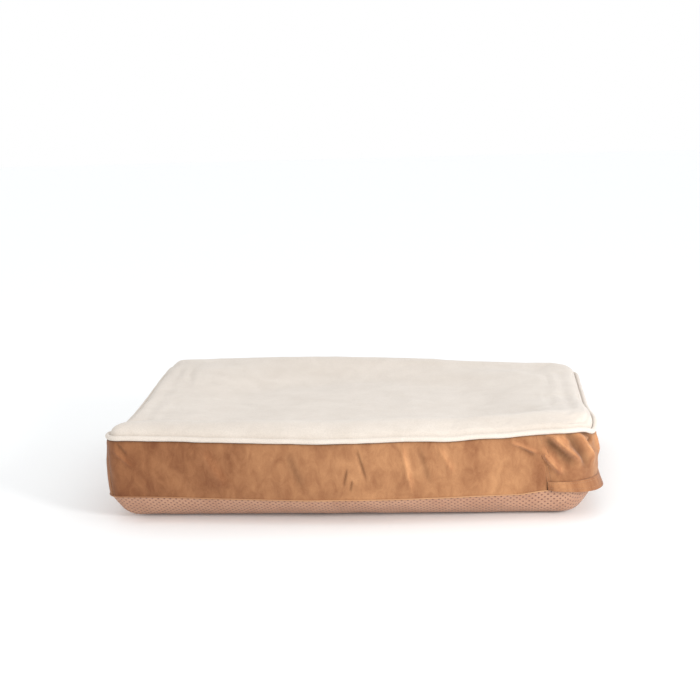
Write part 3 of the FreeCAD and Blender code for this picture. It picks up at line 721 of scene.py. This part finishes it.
def suede_material(name, light, dark, uv=True, fold_shaded=False):
    """Brushed suede: broad strokes of nap that lean either way, with faint fibres and creases. Painted shade
    darkens it towards the left end, as if lit from the right, and, where it reads the crease attribute,
    painted shade lies in fold valleys and under the piping and a painted highlight on ridges.
    """
    paint = Paint(name, Sheen_Weight=0.22, Sheen_Roughness=0.45, Specular_IOR_Level=0.2)
    place = paint.place()
    cloth = paint.place((1.0, 0.55, 1.0), uv=True) if uv else place
    strokes = paint.noise(cloth, 13, 3, 0.5, 0.6)
    smears = paint.noise(cloth, 62, 7, 0.68, 0.5)
    fibres = paint.noise(place, 900, 3, 0.65)
    creases = paint.noise(place, 130, 4, 0.6, 0.5)
    nap = paint.maths("ADD", paint.maths("MULTIPLY", strokes, 0.55), paint.maths("MULTIPLY", smears, 0.45))
    tone = paint.mix(paint.range(nap, 0.34, 0.66), dark, light)
    # painted shade: darker towards the left end, as the light from the right falls off there
    drift = paint.maths("ADD", split_x(paint), paint.maths("MULTIPLY", strokes, 0.16))
    shade = paint.mix(paint.range(drift, -0.40, 0.10), rgb(0.620, 0.500, 0.430), rgb(1.0, 1.0, 1.0))
    tone = paint.mix(1.0, tone, shade, "MULTIPLY")
    # painted shade in fold valleys and under the piping, and painted highlight on ridges, from the crease
    # attribute
    if fold_shaded:
        crease = paint.add("Attribute", {"attribute_name": "crease"}).outputs["Fac"]
        tone = paint.mix(1.0, tone, paint.range(crease, 0.0, 1.2, 1.28, 0.30), "MULTIPLY")
    grain = paint.range(fibres, 0.25, 0.75, 0.90, 1.08)
    paint.colour(paint.mix(1.0, tone, grain, "MULTIPLY"))
    paint.rough(paint.range(nap, 0.35, 0.65, 0.92, 0.74))
    paint.raise_by((smears, 0.0012, 0.25), (creases, 0.0007, 0.35), (fibres, 0.0003, 0.55))
    return paint.material


def grip_material():
    """Base cloth: a fine plain weave with rows of small rubbery dots, every other row offset."""
    paint = Paint("grip_cloth", Specular_IOR_Level=0.25, Sheen_Weight=0.1)
    cells = paint.add("TexCoord").outputs["UV"]
    turned = paint.add("Mapping", Vector=cells, Rotation=(0, 0, math.radians(45)), Scale=(1, 1, 1))
    spots = paint.add(
        "TexVoronoi", {"voronoi_dimensions": "2D"}, Vector=turned.outputs[0],
        Scale=math.sqrt(2) / DOT_PITCH, Randomness=0.0,
    )
    dot = paint.range(spots.outputs["Distance"], 0.27, 0.17)
    weave = paint.add("TexWave", {"wave_type": "BANDS", "bands_direction": "X"}, Vector=cells, Scale=420.0)
    cross = paint.add("TexWave", {"wave_type": "BANDS", "bands_direction": "Y"}, Vector=cells, Scale=420.0)
    thread = paint.maths("MAXIMUM", weave.outputs["Fac"], cross.outputs["Fac"])
    place = paint.place()
    cloud = paint.noise(place, 18, 5, 0.6, 0.6)
    fuzz = paint.noise(place, 1500, 2)
    ground = paint.mix(paint.range(cloud, 0.35, 0.65), rgb(0.450, 0.245, 0.158), rgb(0.530, 0.305, 0.200))
    ground = paint.mix(1.0, ground, paint.range(thread, 0, 1, 0.88, 1.05), "MULTIPLY")
    paint.colour(paint.mix(dot, ground, rgb(0.230, 0.110, 0.075)))
    paint.rough(paint.range(dot, 0, 1, 0.88, 0.50))
    paint.raise_by(
        (cloud, 0.002, 0.3), (thread, 0.0002, 0.5), (fuzz, 0.0002, 0.4), (dot, 0.0006, 0.9)
    )
    return paint.material


def thread_material(name, colour):
    """Twisted polyester sewing thread."""
    paint = Paint(name, Specular_IOR_Level=0.4, Sheen_Weight=0.2)
    place = paint.place()
    twist = paint.noise(place, 2400, 2, 0.5)
    paint.colour(paint.mix(paint.range(twist, 0.3, 0.7), [c * 0.75 for c in colour[:3]] + [1], colour))
    paint.rough(paint.range(twist, 0.3, 0.7, 0.75, 0.5))
    paint.raise_by((twist, 0.0002, 0.5))
    return paint.material


def tape_material():
    """Woven zip tape with a ribbed edge."""
    paint = Paint("tape_weave", Specular_IOR_Level=0.3)
    place = paint.place()
    ribs = paint.noise(paint.place((1, 0.15, 1)), 1900, 2, 0.5)
    cloud = paint.noise(place, 60, 3)
    tone = paint.mix(cloud, rgb(0.30, 0.155, 0.075), rgb(0.40, 0.215, 0.11))
    paint.colour(paint.mix(1.0, tone, paint.range(ribs, 0.3, 0.7, 0.8, 1.08), "MULTIPLY"))
    paint.rough(paint.range(ribs, 0.3, 0.7, 0.9, 0.7))
    paint.raise_by((ribs, 0.0003, 0.6))
    return paint.material


def coil_material():
    """Slightly shiny nylon of the zip's coils."""
    paint = Paint("coil_nylon", Specular_IOR_Level=0.5, Coat_Weight=0.15)
    drift = paint.noise(paint.place(), 400, 3)
    paint.colour(paint.mix(drift, rgb(0.33, 0.17, 0.08), rgb(0.44, 0.25, 0.13)))
    paint.rough(paint.range(drift, 0.3, 0.7, 0.32, 0.5))
    paint.raise_by((drift, 0.0001, 0.3))
    return paint.material


def metal_material(name, light, dark):
    """Small die-cast or pressed metal, rubbed smoother and brighter where it is handled."""
    paint = Paint(name, Metallic=1.0, Specular_IOR_Level=0.5)
    place = paint.place()
    wear = paint.noise(place, 260, 5, 0.65)
    scratch = paint.noise(paint.place((1, 6, 1)), 700, 3, 0.6)
    paint.colour(paint.mix(paint.range(wear, 0.42, 0.62), dark, light))
    paint.rough(paint.range(scratch, 0.3, 0.7, 0.28, 0.52))
    paint.raise_by((scratch, 0.00006, 0.4), (wear, 0.0001, 0.2))
    return paint.material


def foam_material(name, light, dark, pore):
    """Open cell foam: pores of a size in metres, and a slightly mottled body."""
    paint = Paint(name, Specular_IOR_Level=0.2)
    place = paint.place()
    cells = paint.add("TexVoronoi", Vector=place, Scale=1 / pore).outputs["Distance"]
    cloud = paint.noise(place, 25, 3)
    tone = paint.mix(cloud, dark, light)
    paint.colour(paint.mix(1.0, tone, paint.range(cells, 0.0, 0.5, 0.7, 1.05), "MULTIPLY"))
    paint.rough(paint.range(cells, 0, 0.6, 0.98, 0.85))
    paint.raise_by((cells, pore * 0.4, 0.7))
    return paint.material


def liner_material(name, light, dark):
    """Plain woven cloth."""
    paint = Paint(name, Specular_IOR_Level=0.2)
    place = paint.place()
    threads = paint.noise(paint.place((1, 4, 1)), 1300, 2)
    cloud = paint.noise(place, 30, 4)
    paint.colour(paint.mix(paint.range(cloud, 0.3, 0.7), dark, light))
    paint.rough(paint.range(threads, 0.3, 0.7, 0.92, 0.8))
    paint.raise_by((cloud, 0.001, 0.3), (threads, 0.0002, 0.6))
    return paint.material


def floor_material():
    """A plain pale studio floor."""
    paint = Paint("studio_floor", Specular_IOR_Level=0.1, Emission_Strength=0.05)
    paint.shader.inputs["Emission Color"].default_value = rgb(1.0, 1.0, 1.0)
    cloud = paint.noise(paint.place(), 3, 3)
    paint.colour(paint.mix(cloud, rgb(0.930, 0.945, 0.952), rgb(0.935, 0.950, 0.957)))
    paint.rough(paint.range(cloud, 0, 1, 0.9, 0.95))
    paint.raise_by((cloud, 0.0005, 0.05))
    return paint.material


CREAM, CREAM_SHADE = rgb(0.71, 0.635, 0.560), rgb(0.655, 0.58, 0.505)
CARAMEL, CARAMEL_SHADE = rgb(0.500, 0.250, 0.114), rgb(0.232, 0.090, 0.039)

PLUSH = plush_material("cream_plush", CREAM, CREAM_SHADE)
PIPING = plush_material("piping_plush", rgb(0.73, 0.655, 0.58), rgb(0.68, 0.605, 0.53), 0.6)
SUEDE = suede_material("caramel_suede", CARAMEL, CARAMEL_SHADE, fold_shaded=True)
FLAP_SUEDE = suede_material("flap_suede", CARAMEL, CARAMEL_SHADE)
WELT = suede_material("suede_edge", rgb(0.54, 0.30, 0.155), rgb(0.44, 0.23, 0.115), uv=False)
GRIP = grip_material()
TAN_THREAD = thread_material("tan_thread", rgb(0.40, 0.20, 0.095))
DARK_THREAD = thread_material("brown_thread", rgb(0.26, 0.12, 0.055))
METAL = metal_material("slider_metal", rgb(0.42, 0.33, 0.24), rgb(0.28, 0.20, 0.13))
CLIP = metal_material("clip_metal", rgb(0.62, 0.58, 0.50), rgb(0.45, 0.41, 0.35))
SATIN = liner_material("satin_ribbon", rgb(0.85, 0.84, 0.81), rgb(0.78, 0.77, 0.73))
LINER = liner_material("liner_cloth", rgb(0.78, 0.77, 0.74), rgb(0.68, 0.67, 0.64))
COIL = coil_material()
TAPE = tape_material()
BASE_FOAM = foam_material("base_foam_cells", rgb(0.72, 0.70, 0.62), rgb(0.62, 0.60, 0.52), 0.0016)
MEMORY_FOAM = foam_material("memory_foam_cells", rgb(0.80, 0.74, 0.52), rgb(0.72, 0.66, 0.44), 0.0009)
FIBRE = foam_material("fibre_fill", rgb(0.88, 0.88, 0.87), rgb(0.80, 0.80, 0.79), 0.003)


# ---- the cover ----


def underside_map(patch):
    """Where the base cloth was before it was bent up at its edges, so that its dots stay round."""
    depth = np.linspace(0, 0.4, 801)
    height = np.interp(depth, *zip(*UNDERSIDE))
    longer = np.concatenate([[0], np.cumsum(np.hypot(np.diff(depth), np.diff(height)) - np.diff(depth))])
    extra = longer[-1] - np.interp(patch["inset"], depth, longer)
    x, y = patch["plain"][..., 0], patch["plain"][..., 1]
    step = 1e-4
    slope_x = (edge_distance(x - step, y) - edge_distance(x + step, y)) / (2 * step)
    slope_y = (edge_distance(x, y - step) - edge_distance(x, y + step)) / (2 * step)
    return np.stack([x + slope_x * extra, y + slope_y * extra], -1)


def hem(grid, step, last=True):
    """Adds a row that turns a wall's edge inward by a step given as (inward, up)."""
    edge = grid[-1:] if last else grid[:1]
    x, y = edge[..., 0], edge[..., 1]
    shrink = 1 - step[0] / np.maximum(np.hypot(x, y), 1e-6)
    row = np.stack([x * shrink, y * shrink, edge[..., 2] + step[1]], -1)
    return np.concatenate([grid, row] if last else [row, grid])


def finish_cover(node):
    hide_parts(node)


def make_wall(patch, grid):
    uv = np.stack([patch["s"], patch["z"]], -1)
    uv = np.concatenate([uv[:1], uv, uv[-1:]])
    tucked = hem(hem(grid, (0.0035, 0.0012), last=False), (0.003, 0.0006))
    wall = grid_piece(f"suede_{patch['name']}", tucked, uv, SUEDE)
    # the crease values carry the painted fold shade and highlight for the suede
    crease = patch["crease"]
    add_fold_shade(wall.data, np.concatenate([crease[:1], crease, crease[-1:]]))
    finish_cover(f"gusset_{patch['name']}")


def make_cover():
    """The six patches of the cover. Gives back the shaped grids by name."""
    patches = cover_patches()
    inflate(patches)
    grids = {}
    for patch in patches:
        name = patch["name"]
        if name == "top":
            refine(patch, 1)
            grids[name] = shape_top(patch)
            top = grid_piece("plush_top", grids[name], patch["plain"], PLUSH)
            finish_cover("cover_top")
        elif name == "underside":
            refine(patch, 1)
            grids[name] = shape_underside(patch)
            base = grid_piece("dotted_base", grids[name], underside_map(patch), GRIP)
            finish_cover("cover_bottom")
        else:
            refine(patch, 2)
            grids[name] = shape_wall(patch)
            make_wall(patch, grids[name])
    return grids


def ring_line(s, outward_by, z):
    """A line around the outline, pushed outward and at a height."""
    points, outward = outline(s)
    return np.concatenate([points + outward * np.asarray(outward_by)[..., None], z[..., None]], -1)


def make_piping():
    s = np.linspace(0, S_TOTAL, 1400, endpoint=False)
    wobble = 0.0003 * around(s, 2.2, 0.03)
    line = ring_line(s, bow(s) - 0.001 + wobble, PIPING_Z + upper_rise(s) + wobble)
    radius = PIPING_R * (1 + 0.05 * around(s, 8.0, 0.02))
    roll = tube("piping_roll", line, radius, PIPING, closed=True, sides=16)
    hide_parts("piping_cover", "piping_cord")


def make_lower_welt():
    """The folded edge of the suede along its seam with the base cloth."""
    s = np.linspace(S_ZIP_END, S_TOTAL + S_SEAM, 1200)
    line = ring_line(s, bow(s) + 0.0004, LOWER_SEAM + lower_rise(s) - 0.0002)
    welt = tube("lower_welt", line, 0.0011 * (1 + 0.12 * around(s, 1.1, 0.015)), WELT, sides=8)


# ---- stitches ----


def stitch_mesh(name, spots, directions, ups, length, radius, material, body):
    """Many short rounded stitches in one piece."""
    profile = [(-0.5, 0.25), (-0.42, 0.8), (-0.2, 1.0), (0.2, 1.0), (0.42, 0.8), (0.5, 0.25)]
    sides = 6
    turn = np.linspace(0, 2 * np.pi, sides, endpoint=False)
    points, faces = [], []
    for spot, along, up in zip(spots, directions, ups):
        along = along / np.linalg.norm(along)
        side = np.cross(along, up)
        side /= np.linalg.norm(side)
        up = np.cross(side, along)
        start = len(points)
        for place, wide in profile:
            lift = -0.45 * radius * (2 * place) ** 2
            for angle in turn:
                ring = math.cos(angle) * side + math.sin(angle) * up
                points.append(spot + along * place * length + up * lift + ring * radius * wide)
        faces.extend(grid_faces(len(profile), sides, start, wrap=True).tolist())
        faces.append(list(range(start, start + sides)))
        last = start + sides * (len(profile) - 1)
        faces.append(list(range(last + sides - 1, last - 1, -1)))
    return piece(name, new_mesh(name, points, faces), material, body)


def row_of_stitches(name, line, pitch, material, ups, radius, body="cover"):
    """Stitches with small gaps along a line of points."""
    walked = np.concatenate([[0], np.cumsum(np.linalg.norm(np.diff(line, axis=0), axis=1))])
    stops = np.arange(pitch / 2, walked[-1], pitch)

    def at(places, values):
        return np.stack([np.interp(places, walked, values[:, k]) for k in range(3)], -1)

    along = at(stops + pitch / 4, line) - at(stops - pitch / 4, line)
    return stitch_mesh(name, at(stops, line), along, at(stops, ups), pitch * 0.72, radius, material, body)


def make_wall_seams(grids):
    """Raised edges and stitches on the four upright seams, each at the left end of a wall."""
    for label, name, material in (
        ("front_left", "front", WELT), ("zip_corner", "zip_side", FLAP_SUEDE),
        ("zip_rear", "back", FLAP_SUEDE), ("back_left", "left", WELT),
    ):
        line, beside = grids[name][2:-1, 0], grids[name][2:-1, 4]
        out = line * (1.0, 1.0, 0.0)
        out /= np.linalg.norm(out, axis=1, keepdims=True)
        edge = tube(f"seam_{label}", line + out * 0.0003, 0.0009, material, sides=8)
        row = row_of_stitches(f"stitches_{label}", beside + out * 0.0003, 0.0042, DARK_THREAD, out, 0.0004)


# ---- flap and zip ----

# the flap's outline across its length: (share of the way down, side of the middle), from the inner root
FLAP_SHAPE = [
    (0.00, -1), (0.15, -1), (0.30, -1), (0.50, -1), (0.70, -1), (0.88, -1), (0.95, -0.95), (0.99, -0.5),
    (1.00, 0), (0.99, 0.5), (0.95, 0.95), (0.88, 1), (0.78, 1), (0.70, 0.75), (0.62, 1.1), (0.50, 1.15),
    (0.30, 1.1), (0.17, 0.75), (0.10, 1), (0.00, 1), (-0.035, 0.7), (-0.05, 0), (-0.035, -0.7),
]
HEM_STITCHES, ROOT_STITCHES = 13, 17


def flap_drop(s):
    """How far the flap hangs down from its sewn edge: less where it starts on the front."""
    extra = FLAP_SIDE_DROP - FLAP_FRONT_DROP
    return FLAP_FRONT_DROP + extra * smooth(S_SEAM, S_FRONT_RIGHT + 0.02, s)


def flap_strip(name, start, end, count, body):
    """A stretch of the flap between two distances around the outline: gives the piece twice, each time
    with the line of one row of stitches and the directions that face outward there."""
    s = np.linspace(start, end, count)
    points, outward = outline(s)
    share, side = np.array(FLAP_SHAPE).T
    sine, cosine = math.sin(FLAP_FLARE), math.cos(FLAP_FLARE)
    length = share[None] * flap_drop(s)[:, None]
    across = (side * FLAP_THICK / 2)[None]
    wave = 0.0012 * around(s, 3.0, 0.06) + 0.0006 * around(s, 5.0, 0.021)
    corner = 0.0035 * bump(s, S_FRONT_RIGHT + 0.01, 0.045)
    out = FLAP_ROOT + length * sine + across * cosine + share[None] * (wave + corner)[:, None]
    out = out + bow(s)[:, None] - 0.0018 * (1 - share[None])
    tuck = 0.0045 * (1 - smooth(0.0, 0.010, s - S_SEAM))
    out = out - tuck[:, None] * (0.4 + share[None])
    z = FLAP_TOP - length * cosine + across * sine + 0.0008 * around(s, 7.7, 0.08)[:, None] * share[None]
    grid = np.concatenate([points[:, None] + outward[:, None] * out[..., None], z[..., None]], -1)
    rows, columns = grid.shape[:2]
    sides = grid_faces(rows, columns, wrap=True)[:, ::-1].tolist()
    caps = [list(range(columns)), list(range((rows - 1) * columns, rows * columns))[::-1]]
    mesh = new_mesh(name, grid, sides + caps)
    around_section = np.linspace(0, 0.045, columns)
    add_uv(mesh, np.stack(np.broadcast_arrays(s[:, None], around_section[None]), -1))
    made = piece(name, mesh, FLAP_SUEDE, body)
    ups = np.concatenate([outward, np.zeros((count, 1))], -1)
    for label, column in (("hem", HEM_STITCHES), ("root", ROOT_STITCHES)):
        yield made, label, grid[:, column] + ups * 0.0002, ups


def make_flap():
    """The sewn corner stretch, and the side stretch in two halves."""
    straight = S_STRAIGHT + 0.0005
    middle = straight + 0.235
    corner_parts = list(flap_strip("flap_corner", S_SEAM, straight, 120, "cover"))
    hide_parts("zip_flap_corner")
    for _, label, line, ups in corner_parts:
        row_of_stitches(f"flap_corner_{label}_stitches", line, 0.004, TAN_THREAD, ups, 0.0003)
    hinge_x = HALF_X + FLAP_ROOT
    ends = {
        "front": (straight, middle, -0.2395, -0.140),
        "rear": (middle, S_ZIP_END, 0.230, 0.160),
    }
    for part, (start, end, sewn, free) in ends.items():
        rows = list(flap_strip(f"flap_side_{part}", start, end, 200, None))
        strip = rows[0][0]
        if part == "front":
            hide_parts("zip_flap_side")
        bent = [strip]
        for _, label, line, ups in rows:
            bent.append(row_of_stitches(
                f"flap_side_{part}_{label}_stitches", line, 0.004, TAN_THREAD, ups, 0.0003, None
            ))
        for obj in bent:
            start_at, end_at = (hinge_x, sewn, FLAP_TOP), (hinge_x, free, FLAP_TOP)
            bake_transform(obj)
            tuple(start_at)
            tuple(end_at)


def zip_frame(s):
    """The zip's centre line, and its directions along, across (up the tape) and out."""
    points, outward = outline(s)
    flat = np.concatenate([outward, np.zeros((len(s), 1))], -1)
    up = np.array([0.0, 0.0, 1.0])
    centre = np.concatenate([points - outward * ZIP_INSET, np.full((len(s), 1), ZIP_Z)], -1)
    slope = math.sqrt(0.5)
    return centre, (flat + up) * slope, (flat - up) * slope


def make_coils():
    """Two nylon coils whose loops lie side by side along the tapes' edges."""
    pitch, steps = 0.0016, 10
    length = S_ZIP_END - S_SEAM - 0.012
    turns = int(length / pitch)
    s = np.linspace(S_SEAM + 0.006, S_ZIP_END - 0.006, turns * steps)
    centre, across, out = zip_frame(s)
    angle = np.linspace(0, 2 * np.pi * turns, turns * steps)
    wire = 0.00034
    for name, side in (("upper", 1), ("lower", -1)):
        middle = COIL_GAP / 2 + COIL_WIDTH / 2
        wide, tall = COIL_WIDTH / 2 - wire, COIL_HEIGHT / 2 - wire
        lag = 0 if side == 1 else np.pi
        line = (
            centre
            + across * (side * (middle + wide * np.cos(angle + lag)))[:, None]
            + out * (tall * np.sin(angle + lag))[:, None]
        )
        coil = tube(f"coil_{name}", line, wire, COIL, sides=5)
        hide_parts(f"zip_coil_{name}")


def make_tape_stitches():
    """Two rows of stitches on each tape."""
    s = np.linspace(S_SEAM + 0.004, S_ZIP_END - 0.004, 300)
    centre, across, out = zip_frame(s)
    rows = {"upper": 0.0050, "lower": -0.0050, "upper_edge": 0.0100, "lower_edge": -0.0100}
    for name, offset in rows.items():
        line = centre + across * offset + out * 0.00045
        row = row_of_stitches(f"tape_stitches_{name}", line, 0.0026, DARK_THREAD, out, 0.00022)


def make_label():
    """A blank folded ribbon that hangs from the back seam."""
    low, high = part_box("care_label")
    count = 14
    x = np.linspace(low.x, high.x, 12)
    t = np.linspace(0, 1, count)
    drop = high.z - low.z
    outer = np.stack([0.0006 + 0.0030 * np.sin(t * 2.4) * t, high.z - drop * t], -1)
    inner = np.stack([-0.0002 + 0.0030 * np.sin(t * 2.4) * t, high.z - drop * t + 0.0004 * t], -1)
    loop = np.concatenate([outer, inner[::-1]])
    wave = 0.0007 * np.sin(np.linspace(0, 3.4, len(x)))
    grid = np.zeros((len(x), len(loop), 3))
    grid[..., 0] = x[:, None]
    sag = (high.z - loop[None, :, 1]) / drop
    grid[..., 1] = low.y + bow_at_back(x)[:, None] + loop[None, :, 0] + wave[:, None] * sag
    grid[..., 2] = loop[None, :, 1] + 0.0006
    uv = np.stack(np.broadcast_arrays(x[:, None], np.linspace(0, 2 * drop, len(loop))[None]), -1)
    ribbon = grid_piece("blank_label", grid, uv, SATIN)
    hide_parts("care_label")


def bow_at_back(x):
    """How far the back wall stands out, by the place from left to right."""
    return bow(S_BACK_RIGHT + QUARTER_R + (HALF_X - RIGHT_R) - x)


# ---- filling ----


def lowest_nearby(heights, reach):
    """The lowest height within a few cells of each point of a grid."""
    rows, columns = heights.shape
    padded = np.pad(heights, reach, mode="edge")
    steps = range(2 * reach + 1)
    return np.min([padded[i : i + rows, j : j + columns] for i in steps for j in steps], axis=0)


def make_filling(grids):
    """The upper liner, open below, and the fibre topper, lowered under the hollow in the surface."""
    grid = grids["top"].copy()
    grid[..., 2] = lowest_nearby(grid[..., 2], 4)
    coarse = grid[::4, ::4]
    rows, columns = coarse.shape[:2]
    size = rows * columns
    index = np.arange(size).reshape(rows, columns)
    rim = np.concatenate([index[:, 0], index[-1, 1:], index[::-1, -1][1:], index[0, ::-1][1:-1]])
    after = np.roll(rim, -1)
    faces = [grid_faces(rows, columns), np.stack([rim, after, after + size, rim + size], -1)]
    under = grid_faces(rows, columns, size)[:, ::-1]
    for name, node, depth, lowest, closed, material, slot in (
        ("liner_top_sheet", "liner_upper", 0.0045, 0.0955, False, LINER, "liner"),
        ("fibre_layer", "fibre_topper", 0.0070, 0.1205, True, FIBRE, "fibre"),
    ):
        sheet = coarse.copy()
        squeeze = 1 - (0.006 + depth) / np.maximum(np.hypot(sheet[..., 0], sheet[..., 1]), 0.2)
        sheet[..., :2] *= squeeze[..., None]
        sheet[..., 2] -= depth
        flat = sheet.copy()
        flat[..., 2] = lowest
        points = np.concatenate([sheet.reshape(-1, 3), flat.reshape(-1, 3)])
        mesh = new_mesh(name, points, np.concatenate(faces + [under] if closed else faces))
        if not closed:
            mesh_cleanup(mesh, size)
        obj = piece(name, mesh, material)
        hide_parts(node)


def mesh_cleanup(mesh, first):
    """Removes the points from the index first onwards that no face uses."""
    used = {v for face in mesh.polygons for v in face.vertices}
    bm = bmesh.new()
    bm.from_mesh(mesh)
    bm.verts.ensure_lookup_table()
    bmesh.ops.delete(bm, geom=[bm.verts[i] for i in range(first, len(bm.verts)) if i not in used])
    bm.to_mesh(mesh)
    bm.free()


def dress_cad_nodes():
    """Materials for the CAD nodes that stay in view or inside the cover."""
    chosen = {
        "zip_tape_upper": TAPE, "zip_tape_lower": TAPE, "zip_stop_front": CLIP, "zip_stop_rear": CLIP,
        "zip_slider": METAL, "zip_pull": METAL, "liner_lower": LINER, "base_foam": BASE_FOAM,
        "memory_foam": MEMORY_FOAM,
    }
    for node, material in chosen.items():
        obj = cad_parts[node]
        obj.data.materials.clear()
        obj.data.materials.append(material)
    for node in ("zip_slider", "zip_pull", "zip_stop_front", "zip_stop_rear"):
        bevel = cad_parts[node].modifiers.new("soft_edges", "BEVEL")
        bevel.width = 0.00018
        bevel.segments = 2
        bevel.limit_method = "ANGLE"


# ---- studio ----


def make_studio():
    """A pale floor, even white light from all around, and one key light from the right of the camera."""
    corners = [(x, y, -0.0002) for x, y in ((-9, -9), (9, -9), (9, 9), (-9, 9))]
    mesh = new_mesh("floor", corners, [[0, 1, 2, 3]])
    floor = link(bpy.data.objects.new("floor", mesh))
    mesh.materials.append(floor_material())
    world = bpy.data.worlds.new("studio")
    world.use_nodes = True
    background = world.node_tree.nodes["Background"]
    background.inputs["Color"].default_value = rgb(1.0, 1.0, 1.0)
    background.inputs["Strength"].default_value = 1.0
    bpy.context.scene.world = world
    light = bpy.data.lights.new("key", "AREA")
    light.size = 0.5
    light.energy = 32
    lamp = link(bpy.data.objects.new("key", light))
    lamp.location = (1.50, -1.80, 0.85)
    lamp.rotation_euler = (Vector((0, 0, 0.1)) - lamp.location).to_track_quat("-Z", "Y").to_euler()


def make_camera():
    data = bpy.data.cameras.new("camera")
    data.sensor_width = 36
    data.lens = 80.3
    data.clip_start = 0.05
    data.clip_end = 60
    camera = link(bpy.data.objects.new("camera", data))
    camera.location = (0.217, -2.738, 0.744)
    look = Euler((math.radians(90 - 10.6), 0, math.radians(4.9))).to_matrix()
    roll = Matrix.Rotation(math.radians(-1.8), 3, "Z")
    camera.rotation_euler = (look @ roll).to_euler()
    bpy.context.scene.camera = camera


# ---- build ----

make_camera()
cover = make_cover()
make_piping()
make_lower_welt()
make_wall_seams(cover)
make_flap()
make_coils()
make_tape_stitches()
make_label()
make_filling(cover)
dress_cad_nodes()
make_studio()

bpy.context.scene.view_settings.view_transform = "Standard"
